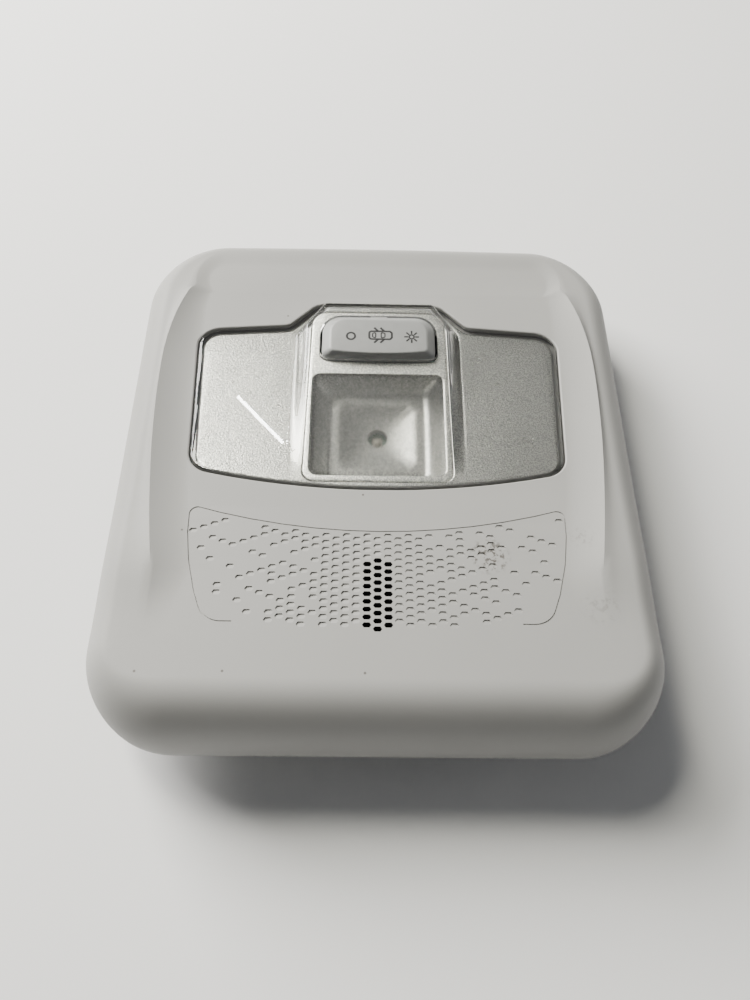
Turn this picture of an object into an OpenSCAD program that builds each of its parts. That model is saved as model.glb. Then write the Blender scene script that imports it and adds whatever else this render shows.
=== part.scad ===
// Overhead interior light of a car: a pillow-shaped bezel with a pierced and dimpled grille,
// one clear T-shaped lens, a satin silver mask and reflector, a three-way rocker and a rear housing.
// It lies face up on its rear housing: X across, Y from the near (thick) end to the far (thin) end.

/* [Bezel] */
// Width over the rim at the far end
bezel_w = 180; // [174:1:196]
// Length over the rim
bezel_l = 198; // [192:1:212]
// How much each side draws in towards the near end
bezel_taper = 2.5; // [0:0.5:5]
// Wall of the moulding
bezel_wall = 2.4; // [2:0.1:2.8]
// Corner radius at the far end
far_corner_r = 30; // [28:1:36]
// Corner radius at the near end
near_corner_r = 28; // [27:1:34]
// How far the far edge bows out at its middle
far_bow = 1.2; // [0:0.1:3]
// Height of the face above the rim, along the bend between lens and grille
face_rise = 18.3; // [17:0.1:22]
// Slope of the face beyond the bend, falling to the far end, in degrees
far_fall = 2.9; // [2:0.1:3.5]
// Slope of the face before the bend, rising to the near end, in degrees
near_rise = 5.7; // [4:0.1:7]
// Where the bend crosses the bezel, measured from its middle
bend_y = -20; // [-22:0.5:-18]
// Width of the rolled edge at the far end
far_roll = 8; // [7:0.5:9]
// Width of the rolled edge along the sides
side_roll = 11; // [9:0.5:12]
// Width of the rolled edge at the near end
near_roll = 17; // [14:0.5:17]
// Depth of the shallow recess of the face inside its raised border
dish_depth = 1.5; // [0:0.1:2]
// Width of the soft step into that recess
dish_step = 9; // [6:0.5:9]

/* [Grille] */
// Distance between the columns of cells
cell_col = 3.2; // [3:0.05:3.4]
// Distance between the cells of one column
cell_row = 2.5; // [2.2:0.05:2.7]
// Width of a cell from point to point
cell_w = 2.75; // [2.2:0.05:2.9]
// Length of a cell's flat edges
cell_flat = 1.65; // [1.2:0.05:1.9]
// Height of a cell between its flat edges
cell_h = 1.6; // [1.2:0.05:1.8]
// Pierced cells in the middle column
pierced_rows = 10; // [4:1:10]
// Distance from the bend to the first pierced cell
pierced_start = 24.6; // [22:0.2:26]
// Tilt of a dimple's floor, in degrees
dimple_tilt = 13; // [8:1:15]
// Half width of the dimpled field
field_half_w = 60; // [50:1:62]
// Distance from the bend to the field's outer corners
field_start = 5; // [4:0.5:8]
// How much further from the bend the field starts at its middle
field_sag = 9.1; // [7:0.1:10]
// Length of the field below its outer corners
field_l = 43; // [38:1:44]
// Width of the fine line that borders the field
line_w = 0.35; // [0.3:0.05:0.6]
// Depth of that line
line_depth = 0.3; // [0.2:0.05:0.6]

/* [Lens] */
// Width across the wings at the far side
lens_w = 131.8; // [126:0.2:134]
// How much each wing draws in towards the near side
lens_taper = 3.6; // [0:0.1:6]
// Distance from the bend to the lens's near edge at its middle
lens_start = 1.8; // [1.5:0.1:4]
// Length of the wings
wing_l = 67.9; // [64:0.1:70]
// How much the near edge bows out at its middle
lens_bow = 7.3; // [3:0.1:8]
// How far the tab reaches beyond the wings
tab_l = 10.7; // [8:0.1:12]
// Width of the tab at its end
tab_w = 46; // [40:0.5:50]
// Width of the tab where it meets the wings
tab_base_w = 66; // [64:0.5:70]
// Corner radius of the wings
wing_corner_r = 8; // [5:0.5:10]
// Wall of the lens
lens_wall = 2.2; // [1.8:0.1:2.6]
// Depth of the lens's edge below the face
lens_depth = 4.4; // [4:0.1:5]
// Gap between the lens and the bezel all round
lens_gap = 0.3; // [0.2:0.05:0.6]
// How far the lens's hidden flange reaches behind the bezel
flange_reach = 2.2; // [1.5:0.1:2.6]
// Height of the raised tongue above the face, at its far end
tongue_rise = 6.6; // [5:0.1:7]
// Half width of the tongue's top at its far end
tongue_half_w = 26; // [25.8:0.1:27]
// Run of the tongue's sloping flanks and end
tongue_draft = 5; // [4:0.1:6]

/* [Mask and reflector] */
// Wall of the silver mask
mask_wall = 1.2; // [1:0.1:1.4]
// Gap between stacked trim parts
trim_gap = 0.1; // [0.05:0.05:0.2]
// How far the mask stays inside the lens's outline
mask_inset = 1.7; // [1.7:0.1:2.5]
// Width of the reflector's frame
frame_w = 50.4; // [49:0.2:51]
// How much each side of the frame draws in towards the far end
frame_taper = 1.2; // [1:0.1:1.6]
// Length of the reflector's frame
frame_l = 69; // [68:0.5:69.5]
// Distance from the lens's near edge to the reflector's frame
frame_inset = 3.6; // [3.5:0.1:4.5]
// Width of the window
window_w = 45; // [40:0.5:46]
// Length of the window
window_l = 39.4; // [36:0.2:40]
// Distance from the frame's near edge to the window
window_inset = 2.6; // [2.5:0.1:4]
// Depth of the lamp pan below the frame
pan_depth = 11; // [9:0.5:11.5]
// How far the pan's walls lean in
pan_lean = 4.2; // [3:0.1:5]
// Wall of the reflector
reflector_wall = 1.4; // [1.2:0.1:1.6]
// Radius of the lamp hole in the pan's floor
lamp_hole_r = 3.6; // [3.2:0.1:5]

/* [Rocker] */
// Width of the key at its foot
key_w = 40.4; // [38:0.2:41]
// Length of the key at its foot
key_l = 17.6; // [16.4:0.2:18]
// Distance from the window to the key
key_offset = 6.2; // [5.8:0.1:6.8]
// How proud the key stands
key_rise = 2.4; // [2:0.1:3]
// How much each flank of the key draws in up to its top
key_draft = 3; // [2:0.1:4]
// Bow of the key's near edge at its foot
key_bow = 0.4; // [0:0.1:0.8]
// Bow of the top face's near edge
key_top_bow = 1.2; // [0:0.1:1.4]
// Gap between the key and the lens
key_gap = 0.8; // [0.75:0.05:1]
// Depth of the pivot below the lens's surface
pivot_depth = 5.9; // [5.7:0.1:6.2]
// Radius of the key's two pivot pins
pivot_r = 1.5; // [1.2:0.1:1.5]
// Running clearance round the pins
pivot_clearance = 0.06; // [0.03:0.01:0.1]
// Wall of the key
key_wall = 1.6; // [1.2:0.1:2]
// Distance from the pivot to the centre of the lever's round end
lever_l = 8.6; // [8.4:0.1:8.8]

/* [Rear housing] */
// Depth of the housing behind the rim
housing_depth = 18; // [17:0.5:20]
// Wall of the housing
housing_wall = 2; // [1.6:0.1:2.4]
// Distance between the fixing screws across the housing
screw_span_x = 147; // [146:0.5:148]
// Distance between the fixing screws along the housing
screw_span_y = 44; // [40:1:50]
// Radius of the fixing screws' threads
screw_r = 1.5; // [1.3:0.1:1.7]
// Width of the connector socket
socket_w = 22; // [20:0.5:26]
// Height of the connector socket
socket_h = 9; // [8.5:0.5:10]
// Depth of the connector socket
socket_d = 9.5; // [9:0.1:10]

/* [Circuit board] */
// Width of the board
board_w = 104; // [98:1:112]
// Length of the board
board_l = 58; // [56:0.5:59]
// Width of the board's tab towards the socket
board_tab_w = 38; // [34:1:42]
// Length of that tab
board_tab_l = 8; // [6:0.5:9]
// Length of the board's tab towards the microphone
lead_tab_l = 4; // [3:0.1:4.2]
// Thickness of the board
board_t = 1.6; // [1.2:0.1:1.6]
// Free height below the pan's floor for the lamp
lamp_room = 2.2; // [2:0.1:2.6]

/* [Microphone] */
// Radius of the microphone capsule
mic_r = 4.85; // [3:0.05:5]
// Height of the capsule
mic_h = 5; // [3:0.1:6]
// Thickness of the foam between capsule and grille
foam_t = 2; // [1.5:0.1:3]

/* [Clips] */
// Distance of the clips' centres from the middle, across
clip_x = 62; // [56:0.5:66]
// Distance of the far clips from the far end
far_clip_inset = 21; // [19:0.5:23]
// Distance of the near clips from the near end
near_clip_inset = 37; // [33:0.5:41]
// Width of a clip
clip_w = 11; // [8:0.5:13]
// Thickness of the spring steel
clip_t = 0.6; // [0.5:0.05:0.8]
// How far the clips reach below the rim
clip_reach = 13; // [10:0.5:14]

/* [Hidden] */
$fn = 48;
eps = 0.01;
through = 40;

// Heights that the parts share
rim_z = housing_depth;
face_z = rim_z + face_rise;

// Steps of the bezel's lofted skin
roll_steps = 7;
step_steps = 4;
inner_roll_steps = 5;
inner_step_steps = 2;
corner_steps = 8;
side_steps = 8;
end_steps = 4;
fade_start = -42;
fade_run = 22;

function mix(a, b, k) = a + (b - a) * k;
function smooth(k) = let (c = min(1, max(0, k))) c * c * (3 - 2 * c);
function unit(v) = v / norm(v);
function flat(lists) = [for (l = lists) each l];

// Points of a fillet of radius r at corner b between its neighbours a and c
function fillet(a, b, c, r, steps = 6) = let (
    u = unit(a - b),
    w = unit(c - b),
    half = acos(u * w) / 2,
    centre = b + unit(u + w) * r / sin(half),
    start = b + u * r / tan(half) - centre,
    turn = (u[0] * w[1] - u[1] * w[0] > 0 ? -1 : 1) * (180 - 2 * half),
    from = atan2(start[1], start[0])
  ) [for (i = [0 : steps]) centre + r * [cos(from + turn * i / steps), sin(from + turn * i / steps)]];

// Outline through corners [x, y, radius], each rounded by its radius
function rounded(corners) = let (n = len(corners), p = [for (c = corners) [c[0], c[1]]])
  [for (i = [0 : n - 1])
    each corners[i][2] == 0 ? [p[i]] : fillet(p[(i + n - 1) % n], p[i], p[(i + 1) % n], corners[i][2])];

// The same, from the corners of the right half, listed from the near end to the far end
function rounded_pair(half) =
  rounded(concat(half, [for (i = [len(half) - 1 : -1 : 0]) [-half[i][0], half[i][1], half[i][2]]]));

// Local frames: on the face beyond the bend, on the grille before it, and on the lens's tongue
module on_face() {
  translate([0, bend_y, face_z])
    rotate([-far_fall, 0, 0])
      children();
}

module on_grille() {
  translate([0, bend_y, face_z])
    rotate([-near_rise, 0, 0])
      children();
}

tongue_inset = 7;
tongue_past_wings = 3;
tongue_start = lens_start + tongue_inset;
tongue_end = lens_start + wing_l + tongue_past_wings;
tongue_tilt = atan(tongue_rise / (tongue_end - tongue_start));

module on_tongue() {
  on_face()
    translate([0, tongue_start, 0])
      rotate([tongue_tilt, 0, 0])
        children();
}

// Height in the part's frame of a point on the tongue's surface, v along it
function tongue_z(v) = face_z - tongue_start * sin(far_fall) + v * sin(tongue_tilt - far_fall);
function tongue_y(v) = bend_y + tongue_start * cos(far_fall) + v * cos(tongue_tilt - far_fall);

// Outline of the bezel: a rounded trapezoid, given as stops [corner centre, radius, direction]
half_far = bezel_w / 2;
half_near = half_far - bezel_taper;
taper_angle = atan(bezel_taper / bezel_l);
function side_x(y) = mix(half_near, half_far, y / bezel_l + 0.5);
function corner_centre(y, r) = [side_x(y) - r / cos(taper_angle), y];
far_c = corner_centre(bezel_l / 2 - far_bow - far_corner_r, far_corner_r);
near_c = corner_centre(near_corner_r - bezel_l / 2, near_corner_r);
side_foot = near_c + [near_corner_r - far_corner_r, 0];
half_stops = [
  for (i = [0 : end_steps - 1]) [[near_c[0] * i / end_steps, near_c[1]], near_corner_r, -90],
  for (i = [0 : corner_steps]) [near_c, near_corner_r, mix(-90, -taper_angle, i / corner_steps)],
  for (i = [1 : side_steps - 1]) [mix(side_foot, far_c, i / side_steps), far_corner_r, -taper_angle],
  for (i = [0 : corner_steps]) [far_c, far_corner_r, mix(-taper_angle, 90, i / corner_steps)],
  for (i = [1 : end_steps]) [[far_c[0] * (1 - i / end_steps), far_c[1]], far_corner_r, 90]
];

// A stop moved in by an inset, with the far edge's bow
function stop_point(stop, inset) = let (
    p = stop[0] + (stop[1] - inset) * [cos(stop[2]), sin(stop[2])]
  ) p + [0, far_bow * (1 - pow(p[0] / half_far, 2)) * max(0, sin(stop[2]))];

// Width of the rolled edge in a given direction
function roll_at(angle) = let (s = sin(angle)) mix(side_roll, s > 0 ? far_roll : near_roll, s * s);

// Height of the face, and of the raised border above it, which fades out at the near end
function face_at(y) = face_z - tan(y > bend_y ? far_fall : near_rise) * (y - bend_y);
function border_at(y) = dish_depth * smooth((y - fade_start) / fade_run + 1);

// Rings of one skin of the shell: up the rolled edge, then down the soft step
function roll_ring(k, wall) = [for (s = half_stops) let (
    p = stop_point(s, wall + (roll_at(s[2]) - wall) * (1 - cos(90 * k)))
  ) [p[0], p[1], rim_z + (face_at(p[1]) + border_at(p[1]) - wall - rim_z) * sin(90 * k)]];
function step_ring(k, wall) = [for (s = half_stops) let (
    p = stop_point(s, roll_at(s[2]) + dish_step * k)
  ) [p[0], p[1], face_at(p[1]) + border_at(p[1]) * (1 + cos(180 * k)) / 2 - wall]];
function closed_ring(half) =
  concat(half, [for (i = [len(half) - 2 : -1 : 1]) [-half[i][0], half[i][1], half[i][2]]]);
function skin(rolls, steps, wall) = concat(
  [for (i = [0 : rolls]) closed_ring(roll_ring(i / rolls, wall))],
  [for (i = [1 : steps]) closed_ring(step_ring(i / steps, wall))]);

// Faces between two rings of n points, and the cap that closes the innermost ring
function turned(faces) = [for (f = faces) [f[2], f[1], f[0]]];
function band(a, b, n) = [for (i = [0 : n - 1]) let (j = (i + 1) % n)
  each [[a + i, b + i, b + j], [a + i, b + j, a + j]]];
function cap(a, n, ends) = let (h = n / 2, last = h - ends - 1) [
  for (k = [0 : 2 * ends - 1]) [a + ends + 1, a + (n - ends + k + 1) % n, a + (n - ends + k) % n],
  [a + ends + 1, a + n - ends, a + n - ends - 1],
  for (i = [ends + 1 : last - 1])
    each [[a + i, a + n - i, a + n - i - 1], [a + i, a + n - i - 1, a + i + 1]],
  for (k = [last + 1 : n - last - 1]) [a + last, a + k + 1, a + k]
];
function skin_faces(first, rings, n) = concat(
  flat([for (k = [0 : rings - 2]) band(first + k * n, first + (k + 1) * n, n)]),
  cap(first + (rings - 1) * n, n, end_steps));

module bezel_shell() {
  outer = skin(roll_steps, step_steps, 0);
  inner = skin(inner_roll_steps, inner_step_steps, bezel_wall);
  n = len(outer[0]);
  inner_first = len(outer) * n;
  polyhedron(
    points = concat(flat(outer), flat(inner)),
    faces = concat(
      skin_faces(0, len(outer), n),
      turned(skin_faces(inner_first, len(inner), n)),
      turned(band(0, inner_first, n))));
}

// The grille: a staggered lattice of flattened hexagons, pierced in the middle and dimpled around
cell = [
  [cell_w / 2, 0], [cell_flat / 2, cell_h / 2], [-cell_flat / 2, cell_h / 2],
  [-cell_w / 2, 0], [-cell_flat / 2, -cell_h / 2], [cell_flat / 2, -cell_h / 2]
];
function cell_at(c, r) = [c * cell_col, -pierced_start - (r + (c % 2 == 0 ? 0 : 0.5)) * cell_row];
function is_pierced(c, r) = abs(c) < 2 && r >= 0 && r < pierced_rows - abs(c);

// The field's limits along Y at a given x: a sagging near-straight start and a rounded lower end
function field_top(x) = -field_start - field_sag * (1 - pow(x / field_half_w, 2));
line_lean = 9;
line_l = 40.3;
function line_x(y) = field_half_w - line_lean * pow((y + field_start) / line_l, 2);
field_overreach = 3;
function field_end(x) = -field_start
  - field_l * sqrt(max(0, 1 - pow(abs(x) / (field_half_w + field_overreach), 4)));

// A steady, scattered choice of cells that thins out towards the field's sides
scatter_steps = [0.755, 0.57];
scatter_sway = 0.2;
sway_turns = [37, 83];
share_mid = 1.12;
share_drop = 0.85;
thin_from = 0.8;
function scatter(c, r) =
  let (v = [c, r] * scatter_steps + scatter_sway * sin([c * c, r] * sway_turns)) v - floor(v);
function share(c) = share_mid - share_drop * smooth(abs(c) * cell_col / field_half_w / thin_from);
field_cols = floor((field_half_w - cell_w / 2) / cell_col);
field_rows = ceil((field_start + field_l) / cell_row);
dimples = [for (c = [-field_cols : field_cols], r = [-field_rows : field_rows])
  let (p = cell_at(c, r))
    if (p[1] < field_top(p[0]) - cell_h && p[1] > field_end(p[0]) + cell_h
      && abs(p[0]) + cell_w / 2 < line_x(p[1]) && !is_pierced(c, r) && scatter(c, r) < share(c)) p];

module pierced_cells() {
  for (c = [-1 : 1], r = [0 : pierced_rows - 1])
    if (is_pierced(c, r))
      translate([cell_at(c, r)[0], cell_at(c, r)[1], -through / 2])
        linear_extrude(through) polygon(cell);
}

// Each dimple is deep at its far left edge and runs out at its near right edge
side_tilt = 0.4;
module dimple_cells() {
  for (p = dimples)
    translate([p[0] + cell_flat / 2, p[1] - cell_h / 2, 0])
      rotate([-dimple_tilt, -dimple_tilt * side_tilt, 0])
        translate([-cell_flat / 2, cell_h / 2, 0])
          linear_extrude(1) polygon(cell);
}

// The fine border line: across the top of the field, down its sides and round into its foot
line_steps = 12;
line_side_steps = 4;
line_corner_r = 2.5;
line_foot_r = 7;
line_foot_w = 42.5;
line_foot_y = -field_start - line_l;
side_line = [for (i = [line_side_steps - 1 : -1 : 1]) let (y = -field_start - line_l * i / line_side_steps)
  [line_x(y), y]];
function line_path(inset) = rounded(concat(
  [[-line_foot_w, line_foot_y + inset, 0], [inset - line_x(line_foot_y), line_foot_y + inset, line_foot_r]],
  [for (p = side_line) [inset - p[0], p[1], 0]],
  [[inset - field_half_w, -field_start - inset, line_corner_r]],
  [for (i = [1 : line_steps - 1]) let (x = field_half_w * (2 * i / line_steps - 1))
    [x, field_top(x) - inset, 0]],
  [[field_half_w - inset, -field_start - inset, line_corner_r]],
  [for (i = [len(side_line) - 1 : -1 : 0]) [side_line[i][0] - inset, side_line[i][1], 0]],
  [[line_x(line_foot_y) - inset, line_foot_y + inset, line_foot_r], [line_foot_w, line_foot_y + inset, 0]]));

module border_line() {
  outer = line_path(0);
  inner = line_path(line_w);
  translate([0, 0, -line_depth])
    linear_extrude(1)
      polygon(concat(outer, [for (i = [len(inner) - 1 : -1 : 0]) inner[i]]));
}

// Bosses for the fixing screws and the blades that carry the clips
boss_r = 4;
boss_rise = 4.5;
boss_foot = rim_z + boss_rise;
thread_gap = 0.05;
screw_l = 7;
screw_mid_y = tongue_y(window_l / 2);
screw_places = [for (x = [-1, 1], y = [-1, 1]) [x * screw_span_x / 2, screw_mid_y + y * screw_span_y / 2]];
far_clip_y = bezel_l / 2 - far_clip_inset;
near_clip_y = near_clip_inset - bezel_l / 2;
blade_t = 2;
blade_grip = 3;
blade_margin = 1;
blade_foot = rim_z - clip_reach + blade_grip;
mic_y = -pierced_start - (pierced_rows - 1) / 2 * cell_row;
mic_half_l = (pierced_rows + 1) / 2 * cell_row + cell_h / 2;
mic_margin = 1;
mic_half_w = 2 * cell_col + mic_margin;
holder_wall = 1.4;
rib_t = 1.5;
rib_gap = 0.1;
rib_drop = 4;

module bezel_bosses() {
  for (p = screw_places)
    translate([p[0], p[1], boss_foot])
      difference() {
        cylinder(r = boss_r, h = face_at(p[1]) - bezel_wall / 2 - boss_foot);
        translate([0, 0, -eps])
          cylinder(r = screw_r + thread_gap, h = screw_l);
      }
}

module clip_blade(x, y) {
  top = face_at(y) - bezel_wall / 2;
  translate([x - clip_w / 2 - blade_margin, y - blade_t / 2, blade_foot])
    cube([clip_w + 2 * blade_margin, blade_t, top - blade_foot]);
}

module mic_ribs() {
  on_grille()
    for (s = [-1, 1])
      translate([s * (mic_half_w + holder_wall + rib_gap + rib_t / 2) - rib_t / 2,
        mic_y - mic_half_l / 2, -bezel_wall - foam_t - rib_drop])
        cube([rib_t, mic_half_l, foam_t + rib_drop + bezel_wall / 2]);
}

module bezel() {
  color("gainsboro")
    difference() {
      union() {
        bezel_shell();
        bezel_bosses();
        mic_ribs();
        for (s = [-1, 1]) {
          clip_blade(s * clip_x, far_clip_y);
          clip_blade(s * clip_x, near_clip_y);
        }
      }
      on_face()
        translate([0, 0, -through / 2])
          linear_extrude(through)
            offset(delta = lens_gap) lens_outline();
      on_grille() {
        pierced_cells();
        dimple_cells();
        border_line();
      }
    }
}

// The lens: a T-shaped clear shell with a raised tongue, a deep edge and a hidden flange
bow_steps = 4;
near_half_w = lens_w / 2 - lens_taper;
wing_end = lens_start + wing_l;
shoulder_rise = 2.7;
shoulder_r = 5;
tab_corner_r = 6;
tab_end = wing_end + shoulder_rise + tab_l;
half_lens = [
  for (i = [1 : bow_steps]) let (k = i / (bow_steps + 1))
    [near_half_w * k, lens_start + lens_bow * k * k, 0],
  [near_half_w, lens_start + lens_bow, wing_corner_r],
  [lens_w / 2, wing_end, wing_corner_r],
  [tab_base_w / 2, wing_end + shoulder_rise, shoulder_r],
  [tab_w / 2, tab_end, tab_corner_r]
];

module lens_outline() {
  polygon(rounded_pair(half_lens));
}

// The tongue as a wedge: its foot follows the tab, its top lies on a plane tilted up
tongue_tip = 4.8;
tongue_l = tongue_end + tongue_tip - tongue_start;
tongue_flare = 2.5;
tongue_end_draw = 4;
tongue_r = 3;
fine_r = 1;
tab_margin = 0.5;
tab_end_margin = 0.7;
module tongue(inset = 0) {
  foot = [
    [tongue_half_w + tongue_draft - fine_r - inset, tongue_start, fine_r],
    [tongue_half_w + tongue_draft - inset, wing_end + tongue_flare, fine_r],
    [tab_w / 2 + tab_margin - inset, tab_end - tab_end_margin - inset, tab_corner_r - fine_r]
  ];
  top = [
    [tongue_half_w + tongue_flare - inset, 0, fine_r],
    [tongue_half_w - inset, tongue_l - tongue_draft + fine_r, tongue_r],
    [tongue_half_w - tongue_end_draw - inset, tongue_l - inset, tongue_r]
  ];
  hull() {
    on_face()
      translate([0, 0, -lens_depth / 2])
        linear_extrude(eps) polygon(rounded_pair(foot));
    on_tongue()
      translate([0, 0, -eps])
        linear_extrude(eps) polygon(rounded_pair(top));
  }
}

// Everything under the face level or the tongue, moved down by a depth
module trim_solid(depth, inset, bottom) {
  translate([0, 0, -depth])
    tongue(inset);
  on_face()
    translate([0, 0, -bottom])
      linear_extrude(bottom - depth)
        offset(delta = -inset) lens_outline();
}

key_v = frame_inset - tongue_inset + window_inset + window_l + key_offset;
key_near_r = 2.5;
key_far_r = 7;
key_bow_steps = 3;
function key_half(half_w, near, far, near_r, far_r, bow) = [
  for (i = [1 : key_bow_steps - 1]) let (k = i / key_bow_steps) [half_w * k, near + bow * k * k, 0],
  [half_w, near + bow, near_r],
  [half_w, far, far_r]
];
function key_outline(grow) = rounded_pair(
  key_half(key_w / 2 + grow, -grow, key_l + grow, key_near_r + max(0, grow), key_far_r + grow, key_bow));

module key_opening(gap) {
  on_tongue()
    translate([0, key_v, -through / 2])
      linear_extrude(through) polygon(key_outline(gap));
}

skirt_cut = 2;
module lens() {
  color("white", 0.35)
    difference() {
      union() {
        trim_solid(0, 0, lens_depth);
        on_face()
          translate([0, 0, -lens_depth])
            linear_extrude(lens_depth - bezel_wall - trim_gap)
              offset(delta = flange_reach) lens_outline();
      }
      trim_solid(lens_wall, mask_inset - trim_gap, lens_depth + skirt_cut);
      key_opening(key_gap);
    }
}

// The silver mask: the same form one wall lower, open in the middle for the reflector
frame_v = frame_inset - tongue_inset;
frame_near_r = 4;
frame_far_r = 6;
module frame_outline(grow) {
  translate([0, frame_v])
    polygon(rounded_pair([
      [frame_w / 2 + grow, -grow, frame_near_r + grow],
      [frame_w / 2 - frame_taper + grow, frame_l + grow, frame_far_r + grow]
    ]));
}

mask_top = lens_wall + trim_gap;
mask_skirt = 2;
module silver_mask() {
  color("silver")
    difference() {
      trim_solid(mask_top, mask_inset, mask_top + mask_wall + mask_skirt);
      trim_solid(mask_top + mask_wall, mask_inset + mask_wall, mask_top + mask_wall + mask_skirt + skirt_cut);
      on_tongue()
        translate([0, 0, -through / 2])
          linear_extrude(through) frame_outline(trim_gap);
    }
}

// The reflector: a frame on the tongue's plane, a leaning pan with a dished floor, and two cheeks
window_v = frame_v + window_inset;
cheek_t = 1.4;
cheek_gap = 0.2;
cheek_l = 7;
window_r = 2.5;
pan_floor_r = 3;
module pan(grow, depth) {
  hull() {
    translate([0, window_v, -mask_top - eps])
      linear_extrude(eps)
        polygon(rounded_pair([
          [window_w / 2 + grow, -grow, window_r],
          [window_w / 2 + grow, window_l + grow, window_r]
        ]));
    translate([0, window_v, -mask_top - depth])
      linear_extrude(eps)
        polygon(rounded_pair([
          [window_w / 2 - pan_lean + grow, pan_lean / 2 - grow, pan_floor_r],
          [window_w / 2 - pan_lean + grow, window_l - pan_lean / 2 + grow, pan_floor_r]
        ]));
  }
}

dish_r = 60;
dish_sag = 2.4;
dish_cut = 3 * dish_sag;
dish_w = window_w - 2 * pan_lean - dish_sag;
dish_l = window_l - pan_lean - dish_sag;
cheek_drop = pivot_depth - mask_top - reflector_wall;
pivot_v = key_v + key_l / 2;

// A cheek's plate with a rounded end round the pivot's bore
module cheek(v) {
  difference() {
    translate([0, v + cheek_t, -pivot_depth])
      rotate([90, 0, 0])
        linear_extrude(cheek_t)
          union() {
            circle(r = cheek_l / 2);
            translate([-cheek_l / 2, 0])
              square([cheek_l, cheek_drop + eps]);
          }
    translate([0, v - eps, -pivot_depth])
      rotate([-90, 0, 0])
        cylinder(r = pivot_r + pivot_clearance, h = cheek_t + 2 * eps);
  }
}

// Four legs that carry the reflector on the board
leg_r = 1.2;
near_leg = 10;
far_leg = 8;
leg_places = [for (x = [-1, 1], v = [frame_v + near_leg, key_v + far_leg])
  [x * (frame_w / 2 - frame_taper - leg_r), v]];
module reflector_legs() {
  for (p = leg_places)
    translate([p[0], tongue_y(p[1]), board_top])
      cylinder(r = leg_r, h = tongue_z(p[1]) - mask_top - reflector_wall / 2 - board_top);
}

frame_clearance = 0.3;
module reflector() {
  color("silver") {
    reflector_legs();
    on_tongue()
      difference() {
        union() {
          translate([0, 0, -mask_top - reflector_wall])
            linear_extrude(reflector_wall) frame_outline(0);
          pan(reflector_wall, pan_depth + reflector_wall);
          cheek(key_v - key_gap - cheek_gap - cheek_t);
          cheek(key_v + key_l + key_gap + cheek_gap);
        }
        translate([0, 0, 2 * eps])
          pan(0, pan_depth - dish_sag);
        translate([0, window_v + window_l / 2, dish_r - mask_top - pan_depth])
          intersection() {
            sphere(r = dish_r, $fn = 96);
            translate([0, 0, -dish_r])
              cube([dish_w, dish_l, dish_cut], center = true);
          }
        translate([0, window_v + window_l / 2, -through])
          cylinder(r = lamp_hole_r, h = through);
        translate([0, key_v, -mask_top - reflector_wall - eps])
          linear_extrude(reflector_wall + 2 * eps) polygon(key_outline(key_gap + frame_clearance));
      }
  }
}

// The rocker key: a drafted cap on a hollow skirt, with two pins and a lever with a round end
key_skirt = 4;
lug_half_w = 3;
lever_t = 3;
lever_depth = 4;
lever_end_r = 1.4;
pin_end = 0.1;
pin_reach = key_gap + cheek_gap + cheek_t + pin_end;
near_draft = key_draft * 0.1;
far_draft = key_draft * 0.9;
hollow_draft = key_draft * 0.4;
key_top_near_r = 1.5;
key_top_far_r = 5.5;

module key_pin(v, reach) {
  translate([0, v, -pivot_depth])
    rotate([-90, 0, 0])
      cylinder(r = pivot_r, h = reach);
}

module key_lug(v) {
  translate([0, v + key_wall, 0])
    rotate([90, 0, 0])
      linear_extrude(key_wall)
        union() {
          translate([0, -pivot_depth])
            circle(r = lug_half_w);
          translate([-lug_half_w, -pivot_depth])
            square([2 * lug_half_w, pivot_depth]);
        }
}

module rocker_key() {
  color("gainsboro")
    on_tongue()
      union() {
        difference() {
          union() {
            hull() {
              translate([0, key_v, -eps])
                linear_extrude(eps) polygon(key_outline(0));
              translate([0, key_v, key_rise - eps])
                linear_extrude(eps)
                  polygon(rounded_pair(key_half(key_w / 2 - key_draft, near_draft,
                    key_l - far_draft, key_top_near_r, key_top_far_r, key_top_bow)));
            }
            translate([0, key_v, -key_skirt])
              linear_extrude(key_skirt) polygon(key_outline(0));
          }
          translate([0, key_v, -key_skirt - eps])
            linear_extrude(key_skirt + key_rise - key_wall) polygon(key_outline(-key_wall - hollow_draft));
        }
        key_lug(key_v);
        key_lug(key_v + key_l - key_wall);
        key_pin(key_v + key_wall - pin_reach - key_wall, pin_reach + eps);
        key_pin(key_v + key_l - eps, pin_reach + eps);
        translate([-lever_t / 2, pivot_v - lever_depth / 2, -pivot_depth - lever_l])
          cube([lever_t, lever_depth, pivot_depth + lever_l + key_rise - key_wall + eps]);
        translate([0, pivot_v + lever_depth / 2, -pivot_depth - lever_l])
          rotate([90, 0, 0])
            cylinder(r = lever_end_r, h = lever_depth);
      }
}

// The board lies level under the pan, with the lamp below the hole in the pan's floor
tongue_lean = tongue_tilt - far_fall;
lamp_y = tongue_y(window_v + window_l / 2) + (mask_top + pan_depth) * sin(tongue_lean);
board_z = tongue_z(window_v + window_l / 2) - (mask_top + pan_depth + reflector_wall) * cos(tongue_lean)
  - lamp_room - board_t;
board_top = board_z + board_t;
board_clearance = 0.8;
board_near = lens_start + lens_bow + bend_y - board_clearance;
board_far = board_near + board_l;
post_r = 3;
post_inset_x = 8.3;
post_inset_y = 7;
post_places = [for (x = [-1, 1], y = [board_near + post_inset_y, board_far - post_inset_y])
  [x * (board_w / 2 - post_inset_x), y]];
board_screw_places = [post_places[0], post_places[3]];
board_screw_r = 1.2;
board_screw_grip = 5;
hole_gap = 0.15;

module on_places(places, z) {
  for (p = places)
    translate([p[0], p[1], z])
      children();
}

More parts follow.
